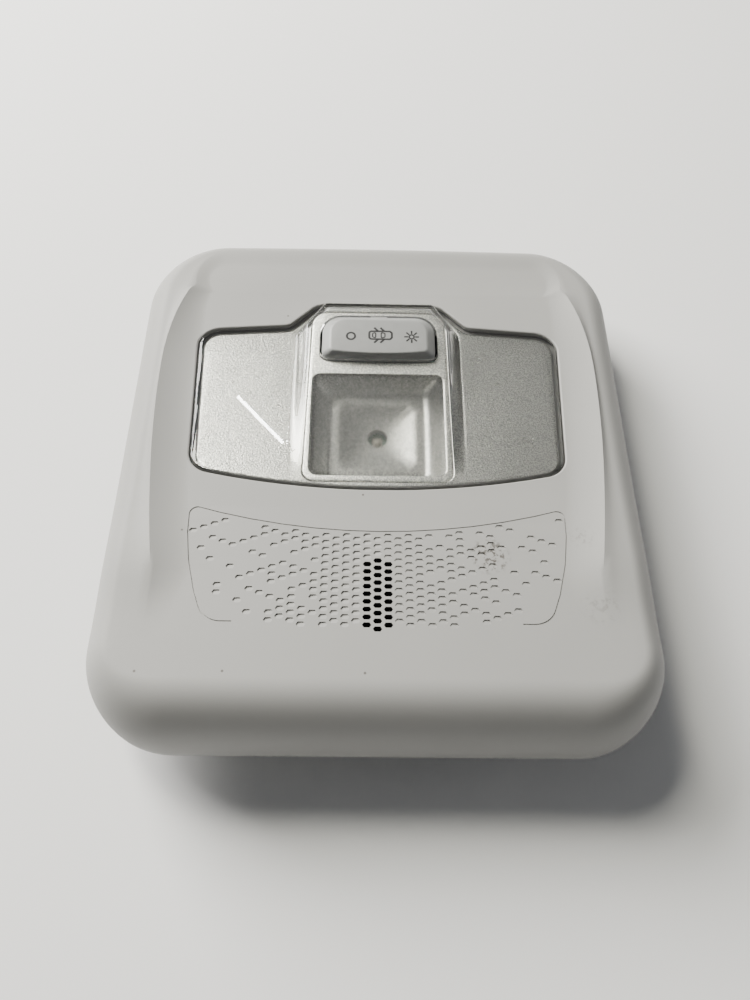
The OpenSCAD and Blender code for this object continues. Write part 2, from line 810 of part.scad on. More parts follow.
module circuit_board() {
  color("seagreen")
    difference() {
      translate([0, 0, board_z])
        linear_extrude(board_t)
          union() {
            translate([-board_w / 2, board_near])
              square([board_w, board_l]);
            translate([-board_tab_w / 2, board_near - lead_tab_l])
              square([board_tab_w, lead_tab_l + board_l + board_tab_l]);
          }
      on_places(board_screw_places, board_z - eps)
        cylinder(r = board_screw_r + hole_gap, h = board_t + 2 * eps);
      on_places(pin_places, board_z - eps)
        cylinder(r = pin_hole_r, h = board_t + 2 * eps);
    }
}

// A pan-head screw pointing up, its head's underside at z = 0, with a cross recess
module screw(r, l) {
  head_r = r * 1.9;
  head_h = r * 1.2;
  crown_r = head_r * 0.8;
  slot_w = r * 0.4;
  slot_h = head_h * 0.6;
  difference() {
    union() {
      translate([0, 0, -head_h])
        cylinder(r1 = crown_r, r2 = head_r, h = head_h);
      cylinder(r = r, h = l);
    }
    for (a = [0, 90])
      rotate([0, 0, a])
        translate([-head_r / 2, -slot_w / 2, -head_h - eps])
          cube([head_r, slot_w, slot_h]);
  }
}

module board_screws() {
  color("dimgray")
    on_places(board_screw_places, board_top)
      rotate([180, 0, 0])
        screw(board_screw_r, board_t + board_screw_grip);
}

screw_short = 1;
module housing_screws() {
  color("dimgray")
    on_places(screw_places, boss_foot - ear_t)
      screw(screw_r, ear_t + screw_l - screw_short);
}

led_w = 3.5;
led_h = 0.9;
led_dome_r = led_w * 0.42;
module led() {
  color("lightyellow")
    translate([0, lamp_y, board_top])
      union() {
        translate([-led_w / 2, -led_w / 2, 0])
          cube([led_w, led_w, led_h]);
        translate([0, 0, led_h])
          intersection() {
            sphere(r = led_dome_r);
            cylinder(r = led_w, h = led_w);
          }
      }
}

chip_size = [1.6, 3.2, 0.6];
chip_step = 6;
chip_places = [for (i = [0 : 3]) [-board_w / 3 + chip_step * i, board_near + board_l / 3]];
module resistors() {
  color("black")
    on_places(chip_places, board_top)
      translate([-chip_size[0] / 2, -chip_size[1] / 2, 0])
        cube(chip_size);
}

driver_size = [5, 4, 1.4];
leg_pitch = 1.27;
leg_size = [0.4, 1, 0.5];
leg_lift = 0.1;
module driver_chip() {
  color("black")
    translate([board_w / 3, board_near + board_l / 3, board_top])
      union() {
        translate([-driver_size[0] / 2, -driver_size[1] / 2, leg_lift])
          cube(driver_size);
        for (s = [-1, 1], i = [-1.5 : 1.5])
          translate([i * leg_pitch, s * (driver_size[1] + leg_size[1]) / 2, leg_size[2] / 2])
            cube(leg_size, center = true);
      }
}

// The socket: a shroud in the housing's far wall, closed inside by a header with two rows of pins
tub_margin = 0.2;
tub_grow = flange_reach - tub_margin;
far_wall_y = bend_y + tab_end * cos(far_fall) + tub_grow;
socket_z = 2 * housing_wall;
socket_back = far_wall_y - socket_d;
header_t = 2.5;
pin_t = 0.8;
pin_hole_r = pin_t * 3 / 4;
pin_pitch = 3.5;
pin_step = 1.9;
pin_margin = 1.5;
pin_row_share = 0.3;
pin_stub = 0.8;
pin_cols = floor((socket_w / 2 - pin_margin) / pin_pitch);
pin_rows = [for (k = [pin_row_share, 1 - pin_row_share]) socket_z + socket_h * k];
pin_reach_y = 5;
pin_places = [for (c = [-pin_cols : pin_cols], r = [0, 1])
  [c * pin_pitch, socket_back - header_t - pin_t - pin_step * r]];

module connector_header() {
  color("black")
    difference() {
      translate([-socket_w / 2 + trim_gap, socket_back - header_t, socket_z + trim_gap])
        cube([socket_w - 2 * trim_gap, header_t, socket_h - 2 * trim_gap]);
      for (c = [-pin_cols : pin_cols], r = [0, 1])
        translate([c * pin_pitch - pin_t / 2, socket_back - header_t - eps, pin_rows[1 - r] - pin_t / 2])
          cube([pin_t, header_t + 2 * eps, pin_t]);
    }
}

module header_pins() {
  color("gold")
    for (c = [-pin_cols : pin_cols], r = [0, 1]) {
      back = socket_back - header_t - pin_t - pin_step * r;
      z = pin_rows[1 - r];
      translate([c * pin_pitch - pin_t / 2, back - pin_t / 2, z - pin_t / 2])
        cube([pin_t, socket_back + pin_reach_y - back, pin_t]);
      translate([c * pin_pitch - pin_t / 2, back - pin_t / 2, z - pin_t / 2])
        cube([pin_t, pin_t, board_top + pin_stub - z + pin_t / 2]);
    }
}

// The rear housing: a tub under the lens's edge, with ears for the screws and posts for the board
ear_t = 2.5;
ear_r = boss_r + 1;
lead_gap = 3;
lead_rise = 2;
lead_notch_z = board_top + lead_rise;
lead_notch_h = 4;
ear_l = 12;

module tub(grow, low, rise = 0) {
  intersection() {
    on_face()
      translate([0, 0, -through * 1.5])
        linear_extrude(through * 1.5 - lens_depth + rise)
          offset(delta = grow) lens_outline();
    translate([-bezel_w, -bezel_l, low])
      cube([2 * bezel_w, 2 * bezel_l, 2 * through]);
  }
}

module housing_ears() {
  for (p = screw_places)
    translate([0, 0, boss_foot - ear_t])
      linear_extrude(ear_t)
        union() {
          translate(p)
            circle(r = ear_r);
          translate([p[0] > 0 ? p[0] - ear_l : p[0], p[1] - ear_r])
            square([ear_l, 2 * ear_r]);
        }
}

module rear_housing() {
  color("dimgray")
    difference() {
      union() {
        difference() {
          union() {
            tub(tub_grow, 0);
            housing_ears();
          }
          tub(tub_grow - housing_wall, housing_wall, 1);
        }
        on_places(post_places, housing_wall - eps)
          cylinder(r = post_r, h = board_z - housing_wall + eps);
        translate([-socket_w / 2 - housing_wall, socket_back - header_t, housing_wall - eps])
          cube([socket_w + 2 * housing_wall, socket_d + header_t, socket_z + socket_h + eps]);
      }
      translate([-socket_w / 2, socket_back - header_t - eps, socket_z])
        cube([socket_w, 2 * socket_d + header_t, socket_h]);
      on_places(board_screw_places, board_z - board_screw_grip - screw_short)
        cylinder(r = board_screw_r + thread_gap, h = board_screw_grip + screw_short + eps);
      on_places(screw_places, boss_foot - ear_t - eps)
        cylinder(r = screw_r + hole_gap, h = ear_t + 2 * eps);
      translate([-lead_gap, bend_y - tub_grow - 1, lead_notch_z])
        cube([2 * lead_gap, tub_grow + housing_wall + lens_start + 2, lead_notch_h]);
    }
}

// The slide switch under the key: a frame with lips, and a forked slider driven by the lever's end
switch_y = tongue_y(pivot_v) + (pivot_depth + lever_l) * sin(tongue_lean);
lever_end_z = tongue_z(pivot_v) - (pivot_depth + lever_l) * cos(tongue_lean);
slide_gap = 0.2;
slider_l = 12;
slider_w = 7;
slider_flange = 1.2;
slider_neck_w = 4.4;
lever_end_gap = 0.4;
slot_play = 0.5;
slot_floor_z = lever_end_z - lever_end_r - lever_end_gap;
slot_w = 2 * lever_end_r + slot_play;
prong_t = 2.4;
prong_top = lever_end_z + lever_end_r / 2;
rocker_angle = 6;
slider_travel = lever_l * sin(rocker_angle);
frame_wall = 1.4;
frame_inner_l = slider_l + 2 * slider_travel + 2 * slide_gap;
lip_z = slider_flange + 2 * slide_gap;
lip_t = 0.9;
frame_h = lip_z + lip_t;

module switch_base() {
  color("dimgray")
    translate([0, switch_y, board_top])
      difference() {
        translate([-frame_inner_l / 2 - frame_wall, -slider_w / 2 - slide_gap - frame_wall, 0])
          cube([frame_inner_l + 2 * frame_wall, slider_w + 2 * (slide_gap + frame_wall), frame_h]);
        translate([-frame_inner_l / 2, -slider_w / 2 - slide_gap, -eps])
          cube([frame_inner_l, slider_w + 2 * slide_gap, lip_z + eps]);
        translate([-frame_inner_l / 2, -slider_neck_w / 2 - slide_gap, -eps])
          cube([frame_inner_l, slider_neck_w + 2 * slide_gap, frame_h + 2 * eps]);
      }
}

wiper_w = 3;
wiper_l = 8;
wiper_t = 0.2;
wiper_room = 0.7;
notch_r = 0.45;
notch_out = 0.1;

module switch_slider() {
  color("white")
    translate([0, switch_y, board_top + slide_gap])
      difference() {
        union() {
          translate([-slider_l / 2, -slider_w / 2, 0])
            cube([slider_l, slider_w, slider_flange]);
          translate([-slider_l / 2, -slider_neck_w / 2, 0])
            cube([slider_l, slider_neck_w, slot_floor_z - board_top - slide_gap]);
          translate([-slot_w / 2 - prong_t, -slider_neck_w / 2, 0])
            cube([slot_w + 2 * prong_t, slider_neck_w, prong_top - board_top - slide_gap]);
        }
        translate([-slot_w / 2, -slider_w, slot_floor_z - board_top - slide_gap])
          cube([slot_w, 2 * slider_w, lever_l]);
        translate([-wiper_l / 2 - slide_gap, -wiper_w / 2 - slide_gap, -eps])
          cube([wiper_l + 2 * slide_gap, wiper_w + 2 * slide_gap, wiper_room]);
        for (i = [-1 : 1])
          translate([i * slider_travel, slider_w / 2 + notch_out, -eps])
            cylinder(r = notch_r, h = slider_flange + 2 * eps, $fn = 24);
      }
}

// A bent strip of even thickness along a path in the plane
function strip(path, t) = let (
    n = len(path),
    side = [for (i = [0 : n - 1]) let (
        a = unit(path[min(i + 1, n - 1)] - path[min(i, n - 2)]),
        b = unit(path[max(i, 1)] - path[max(i - 1, 0)]),
        m = unit([-a[1] - b[1], a[0] + b[0]])
      ) m * t / 2 / (m * [-a[1], a[0]])]
  ) concat([for (i = [0 : n - 1]) path[i] + side[i]], [for (i = [n - 1 : -1 : 0]) path[i] - side[i]]);

wiper_tip = 1;
wiper_arm = 2.5;
wiper_reach = 0.6;
wiper_curl = 0.4;
wiper_back = 0.02;
module wiper_contact() {
  color("gold")
    translate([0, switch_y + wiper_w / 2, board_top + slide_gap + wiper_room - wiper_t / 2])
      rotate([90, 0, 0])
        linear_extrude(wiper_w)
          polygon(strip([
            [-wiper_l / 2, -wiper_curl], [-wiper_l / 2 + wiper_tip, -wiper_reach],
            [-wiper_l / 2 + wiper_arm, -wiper_back], [wiper_l / 2 - wiper_arm, -wiper_back],
            [wiper_l / 2 - wiper_tip, -wiper_reach], [wiper_l / 2, -wiper_curl]
          ], wiper_t));
}

// The leaf spring whose nose sits in the slider's middle notch
spring_t = 0.12;
spring_l = 8;
spring_margin = 0.2;
nose_gap = 0.15;
nose_foot = 1;
nose_sag = 0.05;
seat_gap = 0.005;
module detent_spring() {
  nose = notch_r - nose_gap;
  tip = nose * 0.8;
  far = slider_w / 2 + slide_gap - spring_t / 2 - seat_gap;
  color("silver")
    translate([0, switch_y, board_top + slide_gap + spring_margin])
      linear_extrude(slider_flange - 2 * spring_margin)
        polygon(strip([
          [-spring_l / 2, far], [-nose_foot, far], [-nose, far - nose_sag], [0, far - tip],
          [nose, far - nose_sag], [nose_foot, far], [spring_l / 2, far]
        ], spring_t));
}

// The microphone behind the pierced cells: foam, a snapped-in holder, the capsule and its lead
foam_gap = 0.02;
foam_top = -bezel_wall - foam_gap;
holder_floor = 1.4;
capsule_gap = 0.15;
capsule_top = foam_top - foam_t;
holder_back = 1;
back_hole_r = mic_r * 0.6;
capsule_short = 0.05;

module mic_foam() {
  color("black")
    on_grille()
      translate([-mic_half_w, mic_y - mic_half_l, foam_top - foam_t])
        cube([2 * mic_half_w, 2 * mic_half_l, foam_t]);
}

module mic_holder() {
  color("black")
    on_grille()
      translate([0, mic_y, 0])
        difference() {
          union() {
            translate([-mic_half_w - holder_wall, -mic_half_l - holder_wall, capsule_top - holder_floor])
              cube([2 * (mic_half_w + holder_wall), 2 * (mic_half_l + holder_wall),
                holder_floor + foam_t]);
            translate([0, 0, capsule_top - mic_h - holder_back])
              cylinder(r = mic_r + capsule_gap + holder_wall, h = mic_h + holder_back);
          }
          translate([-mic_half_w, -mic_half_l, capsule_top])
            cube([2 * mic_half_w, 2 * mic_half_l, foam_t + 1]);
          translate([0, 0, capsule_top - mic_h])
            cylinder(r = mic_r + capsule_gap, h = mic_h + 1);
          translate([0, 0, capsule_top - mic_h - 2 * holder_back])
            cylinder(r = back_hole_r, h = 3 * holder_back);
        }
}

module mic_capsule() {
  color("silver")
    on_grille()
      translate([0, mic_y, capsule_top - mic_h])
        cylinder(r = mic_r, h = mic_h - capsule_short);
}

// The lead's route, from the capsule's back through the housing's notch to the board
lead_r = 0.8;
lead_route = [
  [0, -56.7, 29.8], [0, -56.4, 28.2], [0, -54.6, 26.4], [0, -51.5, 25.3], [0, -47, 24.9], [0, -41, 24.8],
  [0, -34, 24.8], [0, -27, 24.8], [0, -21, 24.7], [0, -17.4, 24.3], [0, -15, 23.2],
  [0, -13.9, 21.8], [0, -13.8, 20.05]
];
module mic_lead() {
  n = len(lead_route);
  sides = 8;
  rings = [for (i = [0 : n - 1]) let (
      d = unit(lead_route[min(i + 1, n - 1)] - lead_route[max(i - 1, 0)]),
      up = [0, -d[2], d[1]]
    ) for (k = [0 : sides - 1])
      lead_route[i] + lead_r * (cos(360 * k / sides) * [1, 0, 0] + sin(360 * k / sides) * up)];
  color("black")
    polyhedron(
      points = rings,
      faces = concat(
        turned(flat([for (i = [0 : n - 2]) band(i * sides, (i + 1) * sides, sides)])),
        [[for (k = [sides - 1 : -1 : 0]) k]],
        [[for (k = [0 : sides - 1]) (n - 1) * sides + k]]));
}

// A retaining clip: one strip of spring steel folded round its blade, with two outward barbs
clip_gap = 0.1;
clip_fold = 1.3;
clip_leg_l = 9.5;
barb_turn = [1.4, 10.2];
barb_tip = [4, 5.6];
barb_end = [2.9, 3.2];
module clip(x, y) {
  leg = blade_t / 2 + clip_gap + clip_t / 2;
  half = [
    [leg, clip_fold + clip_t], [leg, clip_leg_l],
    [leg, 0] + barb_turn, [leg, 0] + barb_tip, [leg, 0] + barb_end
  ];
  path = concat([for (i = [len(half) - 1 : -1 : 0]) [-half[i][0], half[i][1]]], [[0, clip_t / 2]], half);
  color("silver")
    translate([x - clip_w / 2, y, rim_z - clip_reach])
      rotate([90, 0, 90])
        linear_extrude(clip_w) polygon(strip(path, clip_t));
}

module clip_far_left() {
  clip(-clip_x, far_clip_y);
}

module clip_far_right() {
  clip(clip_x, far_clip_y);
}

module clip_near_left() {
  clip(-clip_x, near_clip_y);
}

module clip_near_right() {
  clip(clip_x, near_clip_y);
}

bezel();
lens();
silver_mask();
reflector();
rear_housing();
housing_screws();
circuit_board();
board_screws();
led();
resistors();
driver_chip();
connector_header();
header_pins();
switch_base();
switch_slider();
wiper_contact();
detent_spring();
rocker_key();
mic_holder();
mic_foam();
mic_capsule();
mic_lead();
clip_far_left();
clip_far_right();
clip_near_left();
clip_near_right();
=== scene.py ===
from math import atan, ceil, cos, floor, inf, pi, radians, sin, sqrt, tan

import bmesh
import bpy
from bmesh.types import BMEdge, BMFace, BMVert
from mathutils import Matrix, Vector


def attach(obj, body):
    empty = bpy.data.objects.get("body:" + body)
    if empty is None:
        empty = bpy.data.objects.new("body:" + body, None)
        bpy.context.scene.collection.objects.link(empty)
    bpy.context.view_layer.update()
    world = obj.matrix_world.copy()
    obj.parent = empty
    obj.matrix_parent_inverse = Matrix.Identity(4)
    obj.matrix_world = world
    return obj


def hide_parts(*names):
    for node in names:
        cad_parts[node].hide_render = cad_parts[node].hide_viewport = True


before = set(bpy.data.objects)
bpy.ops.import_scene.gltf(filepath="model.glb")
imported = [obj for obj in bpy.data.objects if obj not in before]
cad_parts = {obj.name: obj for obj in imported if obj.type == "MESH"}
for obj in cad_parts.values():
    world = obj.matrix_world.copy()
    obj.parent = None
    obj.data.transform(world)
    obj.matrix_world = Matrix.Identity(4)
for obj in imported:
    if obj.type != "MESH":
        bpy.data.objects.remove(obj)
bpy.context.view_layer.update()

MM = 0.001

# The photograph's camera: its place in millimetres and its turn in degrees
CAMERA_PLACE = (-4.37, -134.06, 250.76)
CAMERA_TURN = (27.508, -1.091, 0.32)


def add_object(name, data):
    """A new object in the scene."""
    made = bpy.data.objects.new(name, data)
    bpy.context.scene.collection.objects.link(made)
    return made


def make_camera():
    """The photograph's view, from the near end and a little left of the middle."""
    lens = bpy.data.cameras.new("camera")
    lens.sensor_fit = "AUTO"
    lens.sensor_width = 36
    lens.lens = 27
    lens.clip_start = 0.01
    lens.dof.use_dof = False
    camera = add_object("camera", lens)
    camera.location = Vector(CAMERA_PLACE) * MM
    camera.rotation_euler = [radians(angle) for angle in CAMERA_TURN]
    bpy.context.scene.camera = camera


make_camera()

# Sizes in millimetres and angles in radians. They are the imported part's, but for the ridge, the far
# border's drop and the tongue's softer foot, which follow the photograph more closely.
BEZEL_W = 180
BEZEL_TAPER = 2.5
BEZEL_L = 198
BEZEL_WALL = 2.4
FAR_CORNER_R = 30
NEAR_CORNER_R = 28
FAR_BOW = 1.2
RIM_Z = 18
FACE_Z = 36.3
FAR_FALL = radians(2.9)
NEAR_RISE = radians(5.7)
BEND_Y = -20
SOFT_BEND = 12
FAR_ROLL = 8
SIDE_ROLL = 11
NEAR_ROLL = 17
DISH_DEPTH = 1.5
DISH_STEP = 12
RIDGE_INSET = 12.2
RIDGE_Y = 33
RIDGE_RISE = 1.3
RIDGE_NEAR_BEND = 0.0012
RIDGE_FAR_BEND = 0.0045
RIDGE_MOST = 20
FADE_START = -42
FADE_RUN = 22
BORDER_DROP = 0.6
BORDER_DROP_START = 55
BORDER_DROP_RUN = 30
STEP_END = 45
STEP_END_RUN = 25
STEP_NEAR_W = 6.5
STEP_FAR_LOSS = 4
STEP_CREASE = 1.6

SCREW_SPAN_X = 147
SCREW_SPAN_Y = 44
SCREW_HOLE_R = 1.55
SCREW_L = 7
BOSS_R = 4
BOSS_RISE = 4.5
BLADE_X = 62
BLADE_W = 13
BLADE_T = 2
BLADE_DROP = 10
FAR_BLADE_INSET = 21
NEAR_BLADE_INSET = 37
RIB_T = 1.5
RIB_DROP = 6
RIB_GAP = 0.1
HOLDER_WALL = 1.4
HOLDER_MARGIN = 1

CELL_COL = 3.2
CELL_ROW = 2.5
CELL_W = 2.75
CELL_FLAT = 1.65
CELL_H = 1.6
PIERCED_ROWS = 10
PIERCED_START = 24.6
DIMPLE_TILT = radians(13)
FIELD_HALF_W = 60
FIELD_START = 5
FIELD_SAG = 9.1
FIELD_L = 43
LINE_W = 0.35
LINE_DEPTH = 0.3
LINE_LEAN = 9
LINE_L = 40.3
LINE_FOOT_W = 42.5

LENS_W = 131.8
LENS_TAPER = 3.6
LENS_START = 1.8
WING_L = 67.9
LENS_BOW = 7.3
TAB_L = 10.7
TAB_W = 46
TAB_BASE_W = 66
WING_CORNER_R = 8
SHOULDER_RISE = 2.7
SHOULDER_R = 5
TAB_CORNER_R = 6
LENS_WALL = 2.2
LENS_DEPTH = 4.4
LENS_GAP = 0.3
LENS_EDGE_R = 0.8
OPENING_LIP = 0.6
INNER_EDGE_R = 0.3
FLANGE_REACH = 2.2
TONGUE_INSET = 7
TONGUE_RISE = 6.6
TONGUE_FOOT_W = 30.4
TONGUE_RUN = 4.9
TONGUE_SOFTNESS = 4
TONGUE_PAST_WINGS = 3
TONGUE_SHRINK = 0.55

TRIM_GAP = 0.1
MASK_WALL = 1.2
MASK_INSET = 1.7
MASK_SKIRT = 2
MASK_EDGE_R = 0.6
MASK_LIP = 0.45
MASK_TOP = LENS_WALL + TRIM_GAP
FRAME_W = 50.4
FRAME_TAPER = 1.2
FRAME_L = 69
FRAME_INSET = 3.6
FRAME_NEAR_R = 4
FRAME_FAR_R = 6
FRAME_EDGE_R = 0.5
WINDOW_W = 45
WINDOW_L = 39.4
WINDOW_INSET = 2.6
WINDOW_R = 2.5
WINDOW_BEVEL = 0.9
PAN_DEPTH = 11
PAN_LEAN = 4.2
PAN_FLOOR_R = 3
REFLECTOR_WALL = 1.4
LEG_R = 1.2
NEAR_LEG = 10
FAR_LEG = 8
LAMP_HOLE_R = 3.6
DISH_R = 60
DISH_SAG = 2.4
CHEEK_T = 1.4
CHEEK_W = 7
CHEEK_GAP = 0.2

KEY_W = 40.4
KEY_L = 17.6
KEY_OFFSET = 6.2
KEY_RISE = 2.4
KEY_DRAFT = 3
KEY_NEAR_R = 2.5
KEY_FAR_R = 7
KEY_BOW = 0.4
KEY_TOP_BOW = 1.2
KEY_TOP_NEAR_R = 1.5
KEY_TOP_FAR_R = 5.5
KEY_GAP = 0.8
KEY_WALL = 1.6
KEY_SKIRT = 4
KEY_ROLL = 0.5
KEY_FOOT_DROP = 0.2
KEY_FOOT_INSET = 0.15
KEY_FOOT_RISE = 0.05
PIVOT_DEPTH = 5.9
PIVOT_R = 1.5
PIVOT_CLEARANCE = 0.06
PIN_END = 0.1
LUG_HALF_W = 3
LEVER_L = 8.6
LEVER_T = 3
LEVER_W = 4
LEVER_END_R = 1.4

WING_END = LENS_START + WING_L
TAB_END = WING_END + SHOULDER_RISE + TAB_L
TONGUE_START = LENS_START + TONGUE_INSET
TONGUE_END = WING_END + TONGUE_PAST_WINGS
TONGUE_TILT = atan(TONGUE_RISE / (TONGUE_END - TONGUE_START))
FRAME_V = FRAME_INSET - TONGUE_INSET
WINDOW_V = FRAME_V + WINDOW_INSET
KEY_V = WINDOW_V + WINDOW_L + KEY_OFFSET


def shift(x, y, z=0):
    return Matrix.Translation((x, y, z))


def turn_x(angle):
    return Matrix.Rotation(angle, 4, "X")


# Local frames: the face beyond the bend, the grille before it, the lens's raised tongue and the key on it.
# The last one turns a rod's axis from z to y.
FACE = shift(0, BEND_Y, FACE_Z) @ turn_x(-FAR_FALL)
GRILLE = shift(0, BEND_Y, FACE_Z) @ turn_x(-NEAR_RISE)
TONGUE = FACE @ shift(0, TONGUE_START) @ turn_x(TONGUE_TILT)
KEY = TONGUE @ shift(0, KEY_V)
LENGTHWAYS = turn_x(radians(-90))


def mix(a, b, share):
    return a + (b - a) * share


def smooth(share):
    share = min(1, max(0, share))
    return share * share * (3 - 2 * share)


def ray(turn):
    """A direction in the plane, as a vector one millimetre long."""
    return Vector((cos(turn), sin(turn)))


def fillet(a, b, c, radius, steps):
    """Points of a round corner at b, between its neighbours a and c."""
    u = (a - b).normalized()
    w = (c - b).normalized()
    half = u.angle(w) / 2
    centre = b + (u + w).normalized() * radius / sin(half)
    start = b + u * radius / tan(half) - centre
    turn = (pi - 2 * half) * (-1 if u.x * w.y - u.y * w.x > 0 else 1)
    return [centre + Matrix.Rotation(turn * i / steps, 2) @ start for i in range(steps + 1)]


def rounded(corners, steps=8):
    """An outline through corners (x, y, radius), each rounded by its radius."""
    points = [Vector(corner[:2]) for corner in corners]
    outline = []
    for i, (point, corner) in enumerate(zip(points, corners)):
        after = points[(i + 1) % len(points)]
        outline += fillet(points[i - 1], point, after, corner[2], steps) if corner[2] else [point]
    return outline


def rounded_pair(half, steps=8):
    """The same from the right half's corners, listed from the near end to the far end."""
    return rounded(half + [(-x, y, radius) for x, y, radius in reversed(half)], steps)


def grown(outline, reach):
    """An anticlockwise outline moved outwards at each point."""
    moved = []
    for i, point in enumerate(outline):
        before = (point - outline[i - 1]).normalized()
        after = (outline[(i + 1) % len(outline)] - point).normalized()
        side = Vector((before.y, -before.x))
        mitre = (side + Vector((after.y, -after.x))).normalized()
        moved.append(point + mitre * reach / mitre.dot(side))
    return moved


def inside(point, outline):
    """How far a point lies inside an outline, and less than zero outside it."""
    nearest = inf
    crossings = 0
    for a, b in zip(outline, outline[1:] + outline[:1]):
        along = b - a
        share = min(1, max(0, (point - a).dot(along) / along.length_squared))
        nearest = min(nearest, (point - a - along * share).length)
        if (a.y > point.y) != (b.y > point.y):
            crossings += point.x < a.x + along.x * (point.y - a.y) / along.y
    return nearest if crossings % 2 else -nearest


def placed(outline, z, place=Matrix.Identity(4)):
    """A flat outline as points at one height of a local frame."""
    return [place @ Vector((point.x, point.y, z)) for point in outline]


def ring(bm, points):
    """A closed loop of edges through points."""
    corners = [bm.verts.new(point) for point in points]
    return [bm.edges.new((corners[i - 1], corner)) for i, corner in enumerate(corners)]


def only(kind, parts):
    """The parts of a bmesh that are of one kind."""
    return [part for part in parts if isinstance(part, kind)]


def loft(bm, rings, material=0):
    """Rings of as many points each, joined by bands of faces. Returns the first and last ring's edges."""
    first = ring(bm, rings[0])
    edges = first
    corners = [edge.verts[1] for edge in edges]
    for points in rings[1:]:
        band = bmesh.ops.extrude_edge_only(bm, edges=edges)["geom"]
        fresh = set(only(BMVert, band))
        corners = [
            next(iter({edge.other_vert(corner) for edge in corner.link_edges} & fresh)) for corner in corners]
        for corner, point in zip(corners, points):
            corner.co = point
        for face in only(BMFace, band):
            face.material_index = material
        edges = [edge for edge in only(BMEdge, band) if fresh.issuperset(edge.verts)]
    return first, edges


def cap(bm, edges, material=0):
    """One face that closes a ring."""
    faces = bmesh.ops.edgeloop_fill(bm, edges=edges)["faces"]
    for face in faces:
        face.material_index = material
    return faces


def solid_loft(bm, rings, material=0):
    """A loft closed at both ends."""
    first, last = loft(bm, rings, material)
    cap(bm, first, material)
    cap(bm, last, material)


def give_material(corners, material):
    """Gives the faces round some vertices a material."""
    for face in {face for corner in corners for face in corner.link_faces}:
        face.material_index = material


def slab(bm, low, high, place=Matrix.Identity(4), material=0):
    """A straight block between two corners of a local frame."""
    low, high = Vector(low), Vector(high)
    box = bmesh.ops.create_cube(bm, size=1)["verts"]
    bmesh.ops.scale(bm, vec=high - low, verts=box)
    bmesh.ops.translate(bm, vec=(low + high) / 2, verts=box)
    bmesh.ops.transform(bm, matrix=place, verts=box)
    give_material(box, material)


def rod(bm, radius, low, high, place, segments=48, material=0):
    """A round bar along z of a local frame."""
    bar = bmesh.ops.create_cone(
        bm, cap_ends=True, segments=segments, radius1=radius, radius2=radius, depth=high - low,
        matrix=place @ shift(0, 0, (low + high) / 2))["verts"]
    give_material(bar, material)


def sliced(bm, faces, axis, places):
    """Faces cut by planes across one axis."""
    geometry = list(faces)
    geometry += {edge for face in faces for edge in face.edges}
    geometry += {corner for face in faces for corner in face.verts}
    across = [float(i == axis) for i in range(3)]
    for place in places:
        spot = [place * share for share in across]
        geometry = bmesh.ops.bisect_plane(
            bm, geom=geometry, dist=1e-4, plane_co=spot, plane_no=across)["geom"]
    return only(BMFace, geometry)


def raised_cap(bm, edges, x_cuts, y_cuts, height_at, material=0):
    """Closes a ring by a sliced face whose corners stand at the height of their place."""
    faces = sliced(bm, sliced(bm, cap(bm, edges, material), 0, x_cuts), 1, y_cuts)
    for corner in {corner for face in faces for corner in face.verts}:
        corner.co.z = height_at(corner.co.x, corner.co.y)


def stations(low, high, step):
    """Even places between two limits, at most a step apart."""
    count = ceil((high - low) / step)
    return [mix(low, high, i / count) for i in range(1, count)]


def as_object(bm, name, finishes=()):
    """A finished bmesh as an object, still in millimetres."""
    bmesh.ops.recalc_face_normals(bm, faces=bm.faces)
    mesh = bpy.data.meshes.new(name)
    bm.to_mesh(mesh)
    bm.free()
    for finish in finishes:
        mesh.materials.append(finish)
    return add_object(name, mesh)


def join(piece, other, operation):
    """Adds another solid to a piece or takes it away, and removes the other solid."""
    step = piece.modifiers.new("join", "BOOLEAN")
    step.operation = operation
    step.solver = "EXACT"
    step.use_self = operation == "UNION"
    step.material_mode = "INDEX"
    step.object = other
    bpy.context.view_layer.update()
    seen = piece.evaluated_get(bpy.context.evaluated_depsgraph_get())
    old = piece.data
    mesh = bpy.data.meshes.new_from_object(seen)
    piece.modifiers.clear()
    piece.data = mesh
    mesh.name = old.name
    used = other.data
    bpy.data.objects.remove(other)
    bpy.data.meshes.remove(used)
    bpy.data.meshes.remove(old)


def carve(piece, make_cutter, *sizes):
    """Takes one cutter away from a piece."""
    bm = bmesh.new()
    make_cutter(bm, *sizes)
    join(piece, as_object(bm, "cutter"), "DIFFERENCE")


def shade(mesh, angle):
    """Smooth faces with sharp edges at steep turns and where one finish meets another."""
    mesh.shade_smooth()
    mesh.set_sharp_from_angle(angle=radians(angle))
    bm = bmesh.new()
    bm.from_mesh(mesh)
    for edge in bm.edges:
        if len({face.material_index for face in edge.link_faces}) > 1:
            edge.smooth = False
    bm.to_mesh(mesh)
    bm.free()


def settle(piece, body, slot, *nodes, angle=35):
    """Brings a piece from millimetres into the frame, attaches it to its body and hides the imported nodes it
    stands for.
    """
    shade(piece.data, angle)
    piece.data.transform(Matrix.Scale(MM, 4))
    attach(piece, body)
    if nodes:
        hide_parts(*nodes)


class Socket:
    """A shader socket that takes part in sums."""

    def __init__(self, finish, socket):
        self.finish = finish
        self.socket = socket

    def maths(self, operation, *values):
        return self.finish.node("Math", dict(enumerate(values)), {"operation": operation})

    def __add__(self, other):
        return self.maths("ADD", self, other)

    def __sub__(self, other):
        return self.maths("SUBTRACT", self, other)

    def __rsub__(self, other):
        return self.maths("SUBTRACT", other, self)

    def __mul__(self, other):
        return self.maths("MULTIPLY", self, other)

    __radd__ = __add__
    __rmul__ = __mul__


